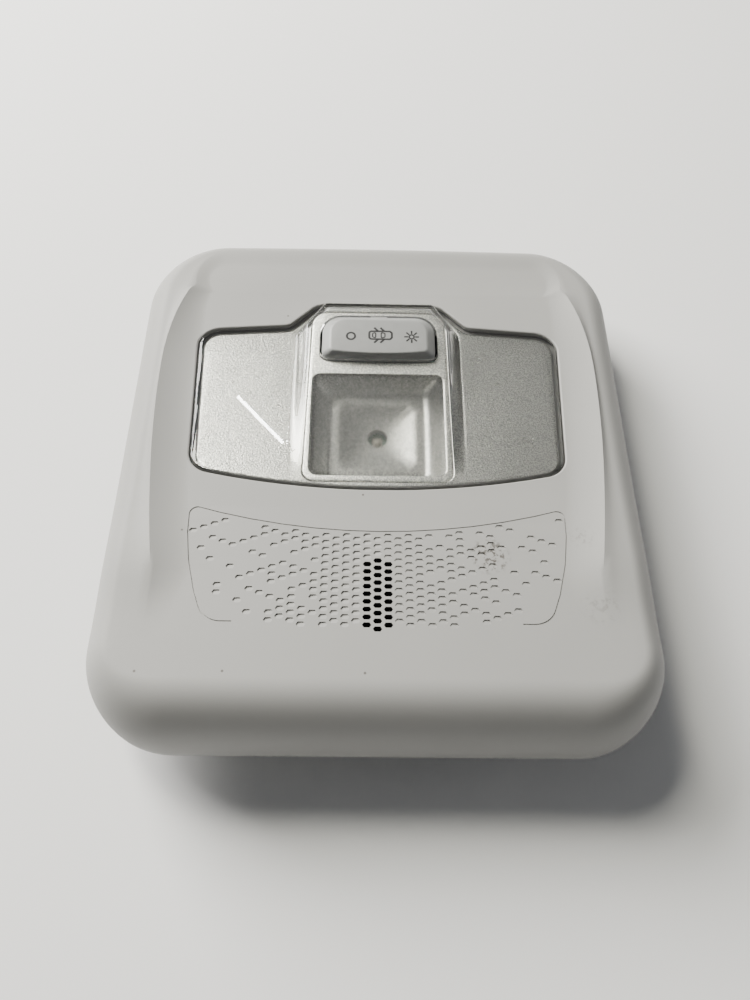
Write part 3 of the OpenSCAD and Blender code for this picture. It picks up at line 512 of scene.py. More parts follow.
class Finish:
    """One procedural material and the ways to build its nodes."""

    def __init__(self, name):
        self.material = bpy.data.materials.new(name)
        self.material.use_nodes = True
        self.tree = self.material.node_tree
        self.tree.nodes.clear()
        self.place = self.node("TexCoord", output="Object")

    def node(self, kind, sockets=None, settings=None, output=0):
        node = self.tree.nodes.new("ShaderNode" + kind)
        for name, value in (settings or {}).items():
            setattr(node, name, value)
        for name, value in (sockets or {}).items():
            if isinstance(value, Socket):
                self.tree.links.new(value.socket, node.inputs[name])
            else:
                node.inputs[name].default_value = value
        return Socket(self, node.outputs[output])

    def noise(self, size, detail=2, roughness=0.5, place=None):
        """Soft noise with lumps of about a size in millimetres."""
        return self.node("TexNoise", {
            "Vector": place or self.place, "Scale": 1 / (size * MM),
            "Detail": detail, "Roughness": roughness})

    def between(self, value, low, high):
        """0 below low, 1 above high, and a soft rise between them."""
        return self.node("MapRange", {"Value": value, "From Min": low, "From Max": high},
                         {"interpolation_type": "SMOOTHSTEP"})

    def blend(self, share, first, second):
        """A colour between two, by a share."""
        return self.node("Mix", {0: share, 6: first, 7: second}, {"data_type": "RGBA"}, output=2)

    def near(self, spot, radius, softness):
        """1 within a radius of a spot, both in millimetres, fading to 0 over a further width."""
        away = self.node("VectorMath", {0: self.place, 1: Vector(spot) * MM},
                         {"operation": "DISTANCE"}, output="Value")
        return 1 - self.between(away, radius * MM, (radius + softness) * MM)

    def bump(self, height, depth, strength=1.0):
        """A normal from a height, where 1 stands for a depth in millimetres."""
        return self.node("Bump", {"Height": height, "Distance": depth * MM, "Strength": strength})

    def show(self, sockets):
        """Ends the material in one principled shader."""
        return self.end(self.node("BsdfPrincipled", sockets))

    def end(self, shader):
        """Makes a shader the material's surface."""
        output = self.tree.nodes.new("ShaderNodeOutputMaterial")
        self.tree.links.new(shader.socket, output.inputs["Surface"])
        return self.material


def colour(red, green, blue, tone=1):
    return (red * tone, green * tone, blue * tone, 1)


# Marks of use on the bezel, in millimetres: places of dark specks, and larger soft smudges with their
# place, radius, softness and strength
SPECKS = [
    (-33.9, 57.1, 32.4), (-4.8, -20.6, 36.4), (-3.5, -80.1, 42.3), (-28.1, -88, 43.1), (25.3, -88, 43),
    (-67.8, -80.2, 42.3), (-43.4, -79.9, 42.3), (-70.7, -34.7, 37.8), (-61.1, -34.6, 37.8),
]
SMUDGES = [((34.5, -42.5, 38.5), 3, 5, 1), ((64.2, -35.5, 37.8), 1, 6, 0.4), ((66.3, -59, 40.2), 2, 7, 0.35)]


def soft_grey(name, tone):
    """Moulded plastic with a fine grain, a little handling dirt and a few specks."""
    finish = Finish(name)
    cloud = finish.noise(30, detail=4)
    mottle = finish.noise(1.2, detail=3)
    tint = finish.blend(cloud, colour(0.97, 0.965, 0.94, tone), colour(1.04, 1.03, 1, tone))
    scuff = finish.between(finish.noise(1.6, detail=5, roughness=0.7), 0.49, 0.6)
    dirt = 0
    for spot, radius, softness, strength in SMUDGES:
        dirt = finish.near(spot, radius, softness) * scuff * strength + dirt
    for spot in SPECKS:
        dirt = finish.near(spot, 0.25, 0.3) * 0.8 + dirt
    return finish.show({
        "Base Color": finish.blend(finish.between(dirt, 0, 1), tint, colour(0.12, 0.11, 0.1)),
        "Roughness": finish.between(mottle, 0.2, 0.8) * 0.08 + cloud * 0.1 + 0.42,
        "Normal": finish.bump(finish.noise(0.35), 0.03, 0.5),
        "Specular IOR Level": 0.25,
    })


def clear_plastic(name, frost=0.0):
    """Clear lens plastic that lets shadow rays through, frosted over the window if wanted."""
    finish = Finish(name)
    roughness = frost
    if frost:
        middle = TONGUE @ Vector((0, WINDOW_V + WINDOW_L / 2, 0))
        for axis, centre, half in (("X", 0, WINDOW_W / 2), ("Y", middle.y, WINDOW_L / 2)):
            place = finish.node("SeparateXYZ", {"Vector": finish.place}, output=axis)
            away = finish.node("Math", {0: place - centre * MM}, {"operation": "ABSOLUTE"})
            roughness = (1 - finish.between(away, (half - 1.5) * MM, (half + 0.5) * MM)) * roughness
    glass = finish.node("BsdfPrincipled", {
        "Base Color": colour(0.98, 0.985, 0.98), "Roughness": roughness, "IOR": 1.49,
        "Transmission Weight": 0.985})
    clear = finish.node("BsdfTransparent", {"Color": colour(0.94, 0.945, 0.94)})
    shadow = finish.node("LightPath", output="Is Shadow Ray")
    return finish.end(finish.node("MixShader", {0: shadow, 1: glass, 2: clear}))


def grained_silver(name, tone, roughness, grain_size, grain_depth):
    """Vacuum metal over a finely grained moulding. The brighter grain flecks carry a warm tint, a painted
    warm sheen of the lamps.
    """
    finish = Finish(name)
    # Random grain flecks; the warm tint of their bright end is painted warm light
    grain_and_warm_sheen = finish.between(finish.noise(grain_size * 0.8, detail=1), 0.38, 0.66)
    return finish.show({
        "Base Color": finish.blend(grain_and_warm_sheen, colour(0.66, 0.66, 0.64, tone), colour(1.2, 1.19, 1.1, tone)),
        "Metallic": 1.0,
        "Roughness": finish.noise(7, detail=3) * 0.08 + roughness,
        "Normal": finish.bump(finish.noise(grain_size, roughness=0.6), grain_depth),
    })


def black_plastic(name, tone):
    """Glass-filled black plastic with an eroded texture."""
    finish = Finish(name)
    cloud = finish.noise(12, detail=4)
    return finish.show({
        "Base Color": finish.blend(cloud, colour(0.8, 0.8, 0.82, tone), colour(1.3, 1.3, 1.3, tone)),
        "Roughness": cloud * 0.15 + 0.42,
        "Normal": finish.bump(finish.noise(0.5, detail=4, roughness=0.6), 0.06, 0.6),
    })


def plain_steel(name, tone, roughness):
    """Rolled or plated steel with fine streaks and a little staining."""
    finish = Finish(name)
    stretched = finish.node("Mapping", {"Vector": finish.place, "Scale": (1, 1, 12)})
    streaks = finish.noise(1.5, detail=4, place=stretched)
    stain = finish.between(finish.noise(5, detail=4), 0.45, 0.75)
    return finish.show({
        "Base Color": finish.blend(stain, colour(1, 1, 0.98, tone), colour(0.72, 0.68, 0.6, tone)),
        "Metallic": 1.0,
        "Roughness": streaks * 0.14 + roughness,
        "Normal": finish.bump(streaks, 0.01, 0.6),
    })


def plain_plastic(name, tint, roughness, grain=0.4):
    """Small moulded parts: one tint with slight clouding and grain."""
    finish = Finish(name)
    cloud = finish.noise(3, detail=3)
    return finish.show({
        "Base Color": finish.blend(cloud, colour(*tint, 0.85), colour(*tint)),
        "Roughness": cloud * 0.1 + roughness,
        "Normal": finish.bump(finish.noise(grain), 0.02, 0.5),
    })


def half_stops():
    """Stops of the bezel's right half from the near end round to the far end: centre, radius, direction."""
    corner_steps, side_steps, end_steps = 22, 24, 12
    half_far = BEZEL_W / 2
    half_near = half_far - BEZEL_TAPER
    taper = atan(BEZEL_TAPER / BEZEL_L)

    def corner_centre(y, radius):
        return Vector((mix(half_near, half_far, y / BEZEL_L + 0.5) - radius / cos(taper), y))

    far = corner_centre(BEZEL_L / 2 - FAR_BOW - FAR_CORNER_R, FAR_CORNER_R)
    near = corner_centre(NEAR_CORNER_R - BEZEL_L / 2, NEAR_CORNER_R)
    side_foot = near + Vector((NEAR_CORNER_R - FAR_CORNER_R, 0))
    turns = [i / corner_steps for i in range(corner_steps + 1)]
    stops = [
        (Vector((near.x * i / end_steps, near.y)), NEAR_CORNER_R, -pi / 2) for i in range(end_steps)]
    stops += [(near, NEAR_CORNER_R, mix(-pi / 2, -taper, turn)) for turn in turns]
    stops += [(side_foot.lerp(far, i / side_steps), FAR_CORNER_R, -taper) for i in range(1, side_steps)]
    stops += [(far, FAR_CORNER_R, mix(-taper, pi / 2, turn)) for turn in turns]
    for i in range(1, end_steps + 1):
        stops.append((Vector((far.x * (1 - i / end_steps), far.y)), FAR_CORNER_R, pi / 2))
    return stops


def stop_point(stop, inset):
    """A stop moved in by an inset, with the far edge's bow."""
    centre, radius, direction = stop
    point = centre + (radius - inset) * ray(direction)
    bow = FAR_BOW * (1 - (point.x / (BEZEL_W / 2)) ** 2) * max(0, sin(direction))
    return point + Vector((0, bow))


def roll_at(direction):
    """Width of the rolled edge in a direction."""
    slant = sin(direction)
    return mix(SIDE_ROLL, FAR_ROLL if slant > 0 else NEAR_ROLL, slant * slant)


def face_at(y):
    """Height of the face, with a soft bend between its two slopes."""
    before, after = -tan(NEAR_RISE), -tan(FAR_FALL)
    run = y - BEND_Y
    if abs(run) < SOFT_BEND:
        return FACE_Z + before * run + (after - before) * (run + SOFT_BEND) ** 2 / (4 * SOFT_BEND)
    return FACE_Z + (before if run < 0 else after) * run


def border_at(y):
    """Height of the raised border above the face: lower at the far end, none at the near end."""
    drop = BORDER_DROP * smooth((y - BORDER_DROP_START) / BORDER_DROP_RUN)
    return DISH_DEPTH * smooth((y - FADE_START) / FADE_RUN + 1) * (1 - drop)


def rim_point(stop, inset, z):
    """A point near the rim."""
    return Vector((*stop_point(stop, inset), z))


def roll_point(stop, share, wall):
    """A point of the rolled edge, from the rim at 0 to the border at 1."""
    inset = wall + (roll_at(stop[2]) - wall) * (1 - cos(share * pi / 2))
    point = stop_point(stop, inset)
    top = face_at(point.y) + border_at(point.y) - wall
    return Vector((*point, mix(RIM_Z, top, sin(share * pi / 2))))


def ridge_at(stop):
    """How far in from the outline the border ends: along the sides its edge bends inwards at both ends."""
    y = stop_point(stop, roll_at(stop[2])).y
    bend = RIDGE_NEAR_BEND if y < RIDGE_Y else RIDGE_FAR_BEND
    side = min(RIDGE_MOST, RIDGE_INSET + bend * (y - RIDGE_Y) ** 2)
    return mix(side, roll_at(stop[2]), sin(stop[2]) ** 2)


def ridge_lift(stop):
    """How far the border rises towards its ridge, along the sides only."""
    y = stop_point(stop, roll_at(stop[2])).y
    return RIDGE_RISE * border_at(y) / DISH_DEPTH * cos(stop[2]) ** 2


def step_width_at(y):
    """Width of the step below the border, narrower towards both ends."""
    near, far = (smooth((past - STEP_END) / STEP_END_RUN) for past in (-y, y))
    return mix(DISH_STEP, STEP_NEAR_W, near) - STEP_FAR_LOSS * far


def border_point(stop, share, wall):
    """A point of the border, from the rolled edge at 0 to the ridge at 1."""
    point = stop_point(stop, mix(roll_at(stop[2]), ridge_at(stop), share))
    lift = ridge_lift(stop) * share * share
    return Vector((*point, face_at(point.y) + border_at(point.y) + lift - wall))


def step_point(stop, share, wall):
    """A point of the step, from the ridge at 0 down to the recessed face at 1: creased along the sides."""
    ridge = stop_point(stop, ridge_at(stop))
    point = stop_point(stop, ridge_at(stop) + step_width_at(ridge.y) * share)
    creased, soft = (1 - share) ** STEP_CREASE, (1 + cos(share * pi)) / 2
    drop = border_at(point.y) * mix(creased, soft, sin(stop[2]) ** 2) + ridge_lift(stop) * creased
    return Vector((*point, face_at(point.y) + drop - wall))


def bezel_ring(point_at, *sizes):
    """A closed ring through one point for each stop and its mirror image."""
    half = [point_at(stop, *sizes) for stop in half_stops()]
    return half + [Vector((-point.x, point.y, point.z)) for point in reversed(half[1:-1])]


def bezel_shell(bm):
    """The thin-walled pillow: outer skin, rim and inner skin as one closed loft."""
    skins = []
    for wall, rolls, borders, steps in ((0, 20, 3, 12), (BEZEL_WALL, 10, 1, 4)):
        counts = ((roll_point, rolls), (border_point, borders), (step_point, steps))
        skins.append([
            bezel_ring(point_at, i / count, wall) for point_at, count in counts for i in range(1, count + 1)])
    outer, inner = skins
    foot = ((BEZEL_WALL, 0), (0.4, 0), (0.12, 0.12), (0, 0.4))
    rim = [bezel_ring(rim_point, inset, RIM_Z + lift) for inset, lift in foot]
    last_inner, last_outer = loft(bm, inner[::-1] + rim + outer[1:])
    y_cuts = stations(-82, 91, 3) + stations(BEND_Y - SOFT_BEND, BEND_Y + SOFT_BEND, 1)
    raised_cap(bm, last_inner, (), y_cuts, lambda x, y: face_at(y) - BEZEL_WALL)
    raised_cap(bm, last_outer, (), y_cuts, lambda x, y: face_at(y))


def half_lens_corners():
    """Corners of the lens's right half, from the near edge's middle to the far end."""
    near_half_w = LENS_W / 2 - LENS_TAPER
    bow = [i * 0.1 for i in range(1, 9)]
    return [(near_half_w * k, LENS_START + LENS_BOW * k * k, 0) for k in bow] + [
        (near_half_w, LENS_START + LENS_BOW, WING_CORNER_R),
        (LENS_W / 2, WING_END, WING_CORNER_R),
        (TAB_BASE_W / 2, WING_END + SHOULDER_RISE, SHOULDER_R),
        (TAB_W / 2, TAB_END, TAB_CORNER_R),
    ]


LENS_OUTLINE = rounded_pair(half_lens_corners(), steps=12)


def quarter(steps):
    """Places (run, rise) at even turns over a quarter round, from (1, 0) to (0, 1)."""
    return [(cos(turn), sin(turn)) for turn in (i / steps * pi / 2 for i in range(steps + 1))]


def flared_opening(bm, outline, place, lip):
    """A cutter with upright walls that opens out in a rounded lip at the surface."""
    low, high = -30, 4
    rings = [placed(outline, low, place)]
    for run, rise in quarter(5):
        rings.append(placed(grown(outline, lip * (1 - run)), lip * (rise - 1), place))
    rings.append(placed(grown(outline, lip), high, place))
    solid_loft(bm, rings, material=1)


CELL = [Vector(corner) for corner in (
    (CELL_W / 2, 0), (CELL_FLAT / 2, CELL_H / 2), (-CELL_FLAT / 2, CELL_H / 2),
    (-CELL_W / 2, 0), (-CELL_FLAT / 2, -CELL_H / 2), (CELL_FLAT / 2, -CELL_H / 2))]


def cell_at(col, row):
    """Middle of a cell of the lattice, whose odd columns stand half a row lower."""
    return Vector((col * CELL_COL, -PIERCED_START - (row + (col % 2) * 0.5) * CELL_ROW))


def is_pierced(col, row):
    """Whether a cell goes right through: three columns over the microphone."""
    return abs(col) < 2 and 0 <= row < PIERCED_ROWS - abs(col)


def field_top(x):
    """The field's far edge, which sags at its middle."""
    return -FIELD_START - FIELD_SAG * (1 - (x / FIELD_HALF_W) ** 2)


def field_end(x):
    """The field's near edge, which comes forward towards the sides."""
    return -FIELD_START - FIELD_L * sqrt(max(0, 1 - (abs(x) / (FIELD_HALF_W + 3)) ** 4))


def scatter(col, row):
    """A steady, scattered value between 0 and 1 for each cell."""
    value = col * 0.755 + row * 0.57 + 0.2 * sin(radians(col * col * 37 + row * 83))
    return value - floor(value)


def cell_share(col):
    """Share of cells present in a column, fewer towards the sides."""
    return 1.12 - 0.85 * smooth(abs(col) * CELL_COL / FIELD_HALF_W * 1.25)


def grille_cutters(bm):
    """The staggered lattice: pierced cells in the middle, tilted dimples around them."""
    cols = floor((FIELD_HALF_W - CELL_W / 2) / CELL_COL)
    rows = ceil((FIELD_START + FIELD_L) / CELL_ROW)
    tilts = {}
    for side in (-1, 1):
        hinge = Vector((-side * CELL_FLAT / 2, -CELL_H / 2, 0))
        sideways = Matrix.Rotation(side * DIMPLE_TILT / 2.5, 4, "Y")
        tilts[side] = shift(*hinge) @ turn_x(-DIMPLE_TILT) @ sideways @ shift(*-hinge)
    for col in range(-cols, cols + 1):
        for row in range(-rows, rows + 1):
            spot = cell_at(col, row)
            place = GRILLE @ shift(*spot)
            if is_pierced(col, row):
                # Pierced cells take material 2: near-black walls, painted shade inside the holes
                solid_loft(bm, [placed(CELL, z, place) for z in (-12, 4)], material=2)
            elif (field_end(spot.x) + CELL_H < spot.y < field_top(spot.x) - CELL_H
                    and abs(spot.x) + CELL_W / 2 < line_x(spot.y) and scatter(col, row) < cell_share(col)):
                tilted = place @ tilts[1 if col > 0 else -1]
                solid_loft(bm, [placed(CELL, z, tilted) for z in (0, 2)], material=3)


def line_x(y):
    """Half width of the border line at a distance from the bend."""
    return FIELD_HALF_W - LINE_LEAN * ((y + FIELD_START) / LINE_L) ** 2


def line_path(inset):
    """The border line's edge: across the top of the field, down its sides and round into its foot."""
    foot_y = -FIELD_START - LINE_L
    half = [(LINE_FOOT_W, foot_y + inset, 0), (line_x(foot_y) - inset, foot_y + inset, 7)]
    half += [(line_x(y) - inset, y, 0) for y in (-FIELD_START - LINE_L * k for k in (0.75, 0.5, 0.25))]
    half.append((FIELD_HALF_W - inset, -FIELD_START - inset, 2.5))
    across = [(x, field_top(x) - inset, 0) for x in stations(-FIELD_HALF_W, FIELD_HALF_W, 10)]
    return rounded([(-x, y, radius) for x, y, radius in half] + across + half[::-1])


def border_line_cutter(bm):
    """The fine line round the field: a strip between two runs of its path."""
    edge = line_path(0) + list(reversed(line_path(LINE_W)))
    solid_loft(bm, [placed(edge, z, GRILLE) for z in (-LINE_DEPTH, 2)], material=3)


def screw_places():
    """The four fixing screws' axes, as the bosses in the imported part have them."""
    middle_y = (TONGUE @ Vector((0, WINDOW_L / 2, 0))).y
    return [(x * SCREW_SPAN_X / 2, middle_y + y * SCREW_SPAN_Y / 2) for x in (-1, 1) for y in (-1, 1)]


def bezel_fixings(bm):
    """Screw bosses, the clips' blades and the microphone's two ribs on the underside."""
    in_wall = BEZEL_WALL / 2
    for x, y in screw_places():
        rod(bm, BOSS_R, RIM_Z + BOSS_RISE, face_at(y) - in_wall, shift(x, y), material=1)
    for x in (-BLADE_X, BLADE_X):
        for y in (BEZEL_L / 2 - FAR_BLADE_INSET, NEAR_BLADE_INSET - BEZEL_L / 2):
            low = (x - BLADE_W / 2, y - BLADE_T / 2, RIM_Z - BLADE_DROP)
            slab(bm, low, (x + BLADE_W / 2, y + BLADE_T / 2, face_at(y) - in_wall), material=1)
    middle = -PIERCED_START - (PIERCED_ROWS - 1) / 2 * CELL_ROW
    half_l = ((PIERCED_ROWS + 1) / 2 * CELL_ROW + CELL_H / 2) / 2
    for side in (-1, 1):
        x = side * (2 * CELL_COL + HOLDER_MARGIN + HOLDER_WALL + RIB_GAP + RIB_T / 2)
        low = (x - RIB_T / 2, middle - half_l, -BEZEL_WALL - RIB_DROP)
        slab(bm, low, (x + RIB_T / 2, middle + half_l, -in_wall), GRILLE, 1)


def screw_hole_cutters(bm):
    """The screws' blind holes in the bosses."""
    for x, y in screw_places():
        rod(bm, SCREW_HOLE_R, RIM_Z, RIM_Z + BOSS_RISE + SCREW_L, shift(x, y), segments=24, material=1)


def make_bezel(shell, dark):
    """The bezel: shell and fixings, less the lens's opening and the grille's cells. The pierced cells' walls
    are painted near-black: painted shade for the holes' dark insides.
    """
    bm = bmesh.new()
    bezel_shell(bm)
    bezel = as_object(bm, "bezel_moulding", (shell, shell, dark, shell))
    bm = bmesh.new()
    bezel_fixings(bm)
    join(bezel, as_object(bm, "bezel_fixings"), "UNION")
    carve(bezel, screw_hole_cutters)
    carve(bezel, flared_opening, grown(LENS_OUTLINE, LENS_GAP), FACE, OPENING_LIP)
    carve(bezel, border_line_cutter)
    carve(bezel, grille_cutters)
    settle(bezel, "lamp", "shell_grey", "bezel", angle=30)


def tongue_foot(inset):
    """Outline of the tongue's foot on the face, a little inside the lens's tab at the far end."""
    return rounded_pair([
        (TONGUE_FOOT_W - inset, TONGUE_START - 20, 1),
        (TONGUE_FOOT_W - inset, WING_END - 1 - inset * 0.4, 6),
        (TAB_W / 2 - 1.2 - inset, TAB_END - 1.4 - inset, 5),
    ])


def tongue_height(x, y, foot):
    """How far the tongue stands above the face: a slope that starts softly, with softly rolled flanks."""
    soft = TONGUE_SOFTNESS
    run = y - TONGUE_START
    if run < -soft:
        return 0
    rise = run if run > soft else (run + soft) ** 2 / (4 * soft)
    return rise * tan(TONGUE_TILT) * smooth(inside(Vector((x, y)), foot) / TONGUE_RUN)


# Cuts across the lens's and the mask's faces: coarse over the wings, fine at the tongue's flanks and end
FLANK_CUTS = stations(16, TONGUE_FOOT_W + 1, 0.4)
X_CUTS = stations(-66, 66, 3) + [-place for place in FLANK_CUTS] + FLANK_CUTS
Y_CUTS = stations(2, 60, 2.5) + stations(60, 84, 0.4)


def crowned_face(bm, edges, z, inset, finish):
    """Closes a ring by a face on the face's level that rises over the tongue."""
    foot = tongue_foot(inset * TONGUE_SHRINK)
    raised_cap(bm, edges, X_CUTS, Y_CUTS, lambda x, y: z + tongue_height(x, y, foot), finish)


def edge_rings(outline, z, radius, inset):
    """Rings of a rounded top edge, ending at the ring that bounds the top."""
    return [placed(grown(outline, radius * run - radius - inset), z - radius + radius * rise)
            for run, rise in quarter(4)]


def trim_shell(top, wall, side_inset, inner_inset, depth, radius):
    """Rings of a shell under the lens's outline: its inner skin down to the foot, and its outer top edge."""
    outer = edge_rings(LENS_OUTLINE, -top, radius, side_inset)
    inner = edge_rings(LENS_OUTLINE, -top - wall, INNER_EDGE_R, inner_inset)
    rings = inner[::-1] + [placed(grown(LENS_OUTLINE, -inner_inset), -depth)]
    return rings, outer


def key_opening(bm, gap, low, high):
    """The key's outline with a gap round it, cut between two heights over the tongue."""
    solid_loft(bm, [placed(key_outline(gap), z, KEY) for z in (low, high)])


def make_lens(clear, frosted, painted_edge_shade):
    """The lens: one clear shell with a raised tongue, a rounded edge and a hidden flange. Its flange, skirt
    and the lower part of its edge are painted opaque dark grey: painted shade for the dark look of the clear
    edge.
    """
    bm = bmesh.new()
    inner_inset = MASK_INSET - TRIM_GAP
    rings, outer = trim_shell(0, LENS_WALL, 0, inner_inset, LENS_DEPTH, LENS_EDGE_R)
    flange = -BEZEL_WALL - TRIM_GAP
    rings += [placed(grown(LENS_OUTLINE, FLANGE_REACH), z) for z in (-LENS_DEPTH, flange)]
    rings.append(placed(LENS_OUTLINE, flange))
    under, over = loft(bm, rings + outer)
    # Faces below the rounded edge's upper part take the third finish, opaque dark grey: painted shade
    # standing for the clear lens's dark edge
    for face in bm.faces:
        if face.calc_center_median().z < -LENS_EDGE_R / 4:
            face.material_index = 2
    crowned_face(bm, under, -LENS_WALL, inner_inset, 1)
    crowned_face(bm, over, 0, 0, 0)
    bmesh.ops.transform(bm, matrix=FACE, verts=bm.verts)
    lens = as_object(bm, "clear_lens", (clear, frosted, painted_edge_shade))
    carve(lens, key_opening, KEY_GAP, -20, 12)
    settle(lens, "lamp", "clear_lens", "lens", angle=32)


def frame_outline(grow):
    """Outline of the reflector's frame, in the tongue's frame."""
    return [point + Vector((0, FRAME_V)) for point in rounded_pair([
        (FRAME_W / 2 + grow, -grow, FRAME_NEAR_R + grow),
        (FRAME_W / 2 - FRAME_TAPER + grow, FRAME_L + grow, FRAME_FAR_R + grow)])]


def make_mask(silver):
    """The satin mask: the lens's form one wall lower, open in the middle."""
    bm = bmesh.new()
    inner_inset = MASK_INSET + MASK_WALL
    depth = MASK_TOP + MASK_WALL + MASK_SKIRT
    rings, outer = trim_shell(MASK_TOP, MASK_WALL, MASK_INSET, inner_inset, depth, MASK_EDGE_R)
    rings.append(placed(grown(LENS_OUTLINE, -MASK_INSET), -depth))
    under, over = loft(bm, rings + outer)
    crowned_face(bm, under, -MASK_TOP - MASK_WALL, inner_inset, 0)
    crowned_face(bm, over, -MASK_TOP, MASK_INSET, 0)
    bmesh.ops.transform(bm, matrix=FACE, verts=bm.verts)
    mask = as_object(bm, "wing_mask", (silver, silver))
    carve(mask, flared_opening, frame_outline(TRIM_GAP), TONGUE @ shift(0, 0, -MASK_TOP), MASK_LIP)
    settle(mask, "lamp", "satin_silver", "silver_mask", angle=40)


def pan_ring(inset, z, corner_r):
    """One ring of the lamp pan, in the tongue's frame. The far and near walls lean half as much."""
    half_w = WINDOW_W / 2 - inset
    outline = rounded_pair([
        (half_w, WINDOW_V + inset / 2, corner_r), (half_w, WINDOW_V + WINDOW_L - inset / 2, corner_r)])
    return placed(outline, z - MASK_TOP, TONGUE)


def dish_ring(share):
    """One ring of the dished floor, from its edge at 0 to the middle at 1."""
    middle_v = WINDOW_V + WINDOW_L / 2
    half_w = (WINDOW_W / 2 - PAN_LEAN) * (1 - share)
    half_l = (WINDOW_L - PAN_LEAN) / 2 * (1 - share)
    corner_r = mix(PAN_FLOOR_R, 1.2, share)
    points = rounded_pair([(half_w, middle_v - half_l, corner_r), (half_w, middle_v + half_l, corner_r)])
    ring = []
    for point in points:
        away = (point - Vector((0, middle_v))).length
        sunk = min(DISH_SAG, away * away / (2 * DISH_R))
        ring.append(TONGUE @ Vector((point.x, point.y, sunk - PAN_DEPTH - MASK_TOP)))
    return ring


def pan_hollow(bm):
    """The window with its rounded rim, the pan's leaning walls and its dished floor."""
    bevel, bevel_r = WINDOW_BEVEL, WINDOW_R + 0.7
    rings = [pan_ring(-bevel, 5, bevel_r)]
    for i, (run, rise) in enumerate(quarter(5)):
        rings.append(pan_ring(bevel * (rise - 1), -bevel * (1 - run), mix(bevel_r, WINDOW_R, i / 5)))
    floor_z = DISH_SAG - PAN_DEPTH
    # The wall ends at its foot and turns into the floor along a curve, whose far end is the toe
    foot, toe = 0.5, 1.45
    for share in (0.25, foot):
        corner_r = mix(WINDOW_R, PAN_FLOOR_R, share)
        rings.append(pan_ring(PAN_LEAN * share, mix(-bevel, floor_z, share), corner_r))
    for i in range(1, 9):
        share = i / 8
        slope = mix(mix(foot, 1, share), mix(1, toe, share), share)
        sunk = mix(mix(foot, 1, share), 1, share)
        rings.append(pan_ring(PAN_LEAN * slope, mix(-bevel, floor_z, sunk), PAN_FLOOR_R))
    rings += [dish_ring(0.17 + i / 12 * 0.75) for i in range(13)]
    solid_loft(bm, rings, 1)


def lamp_hole(bm):
    """The hole in the pan's floor through which the lamp shows."""
    rod(bm, LAMP_HOLE_R, -25, -8, TONGUE @ shift(0, WINDOW_V + WINDOW_L / 2), material=1)


def pin_bores(bm):
    """The bores of the key's two pins in the cheeks."""
    for v in (KEY_V - KEY_GAP - 2, KEY_V + KEY_L + KEY_GAP):
        rod(bm, PIVOT_R + PIVOT_CLEARANCE, 0, 3, TONGUE @ shift(0, v, -PIVOT_DEPTH) @ LENGTHWAYS, material=1)


def reflector_legs(bm):
    """Four legs from the frame's underside down to the board."""
    foot = min(corner.co.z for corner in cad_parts["reflector"].data.vertices) / MM
    for v in (FRAME_V + NEAR_LEG, KEY_V + FAR_LEG):
        top = TONGUE @ Vector((0, v, 0))
        for x in (-1, 1):
            place = shift(x * (FRAME_W / 2 - FRAME_TAPER - LEG_R), top.y)
            rod(bm, LEG_R, foot, top.z - MASK_TOP - REFLECTOR_WALL / 2, place)


def make_reflector(bright, pan_painted_shade_metal):
    """The reflector: frame with a rounded edge, window bevel, dished lamp pan, cheeks and legs. The pan takes
    a much darker copy of the frame's metal: painted shade for its dim reflections.
    """
    bm = bmesh.new()
    edge = FRAME_EDGE_R
    rings = [placed(frame_outline(0), -MASK_TOP - REFLECTOR_WALL, TONGUE)]
    for run, rise in quarter(4):
        rings.append(placed(frame_outline(edge * run - edge), -MASK_TOP - edge + edge * rise, TONGUE))
    solid_loft(bm, rings)
    reflector = as_object(bm, "lamp_reflector", (bright, pan_painted_shade_metal))
    bm = bmesh.new()
    pan_foot = pan_ring(PAN_LEAN - REFLECTOR_WALL, -PAN_DEPTH - REFLECTOR_WALL, PAN_FLOOR_R)
    solid_loft(bm, [pan_ring(-REFLECTOR_WALL, -0.6, WINDOW_R), pan_foot])
    cheek_drop = PIVOT_DEPTH - MASK_TOP - REFLECTOR_WALL / 2
    for v in (KEY_V - KEY_GAP - CHEEK_GAP, KEY_V + KEY_L + KEY_GAP + CHEEK_GAP + CHEEK_T):
        place = TONGUE @ shift(0, v, -PIVOT_DEPTH) @ turn_x(radians(90))
        rod(bm, CHEEK_W / 2, 0, CHEEK_T, place)
        slab(bm, (-CHEEK_W / 2, 0, 0), (CHEEK_W / 2, cheek_drop, CHEEK_T), place)
    reflector_legs(bm)
    join(reflector, as_object(bm, "pan_and_cheeks"), "UNION")
    carve(reflector, pan_hollow)
    carve(reflector, lamp_hole)
    carve(reflector, key_opening, KEY_GAP + 0.3, -MASK_TOP - 2, 4)
    carve(reflector, pin_bores)
    settle(reflector, "lamp", "bright_silver", "reflector", angle=40)


def key_half(half_w, near, far, near_r, far_r, bow):
    """Corners of the key's right half, with a near edge that bows out at its middle."""
    bowed = [(half_w * k, near + bow * k * k, 0) for k in (0.17, 0.34, 0.5, 0.67)]
    return bowed + [(half_w, near + bow, near_r), (half_w, far, far_r)]


def key_outline(grow):
    """Outline of the key's foot, grown outwards or inwards."""
    near_r = KEY_NEAR_R + max(0, grow)
    return rounded_pair(key_half(KEY_W / 2 + grow, -grow, KEY_L + grow, near_r, KEY_FAR_R + grow, KEY_BOW))


def key_ring(share):
    """Outline of the key between its foot at 0 and its drafted top at 1."""
    draft = KEY_DRAFT * share
    near_r, far_r = mix(KEY_NEAR_R, KEY_TOP_NEAR_R, share), mix(KEY_FAR_R, KEY_TOP_FAR_R, share)
    return rounded_pair(key_half(
        KEY_W / 2 - draft, draft * 0.1, KEY_L - draft * 0.9, near_r, far_r, mix(KEY_BOW, KEY_TOP_BOW, share)))


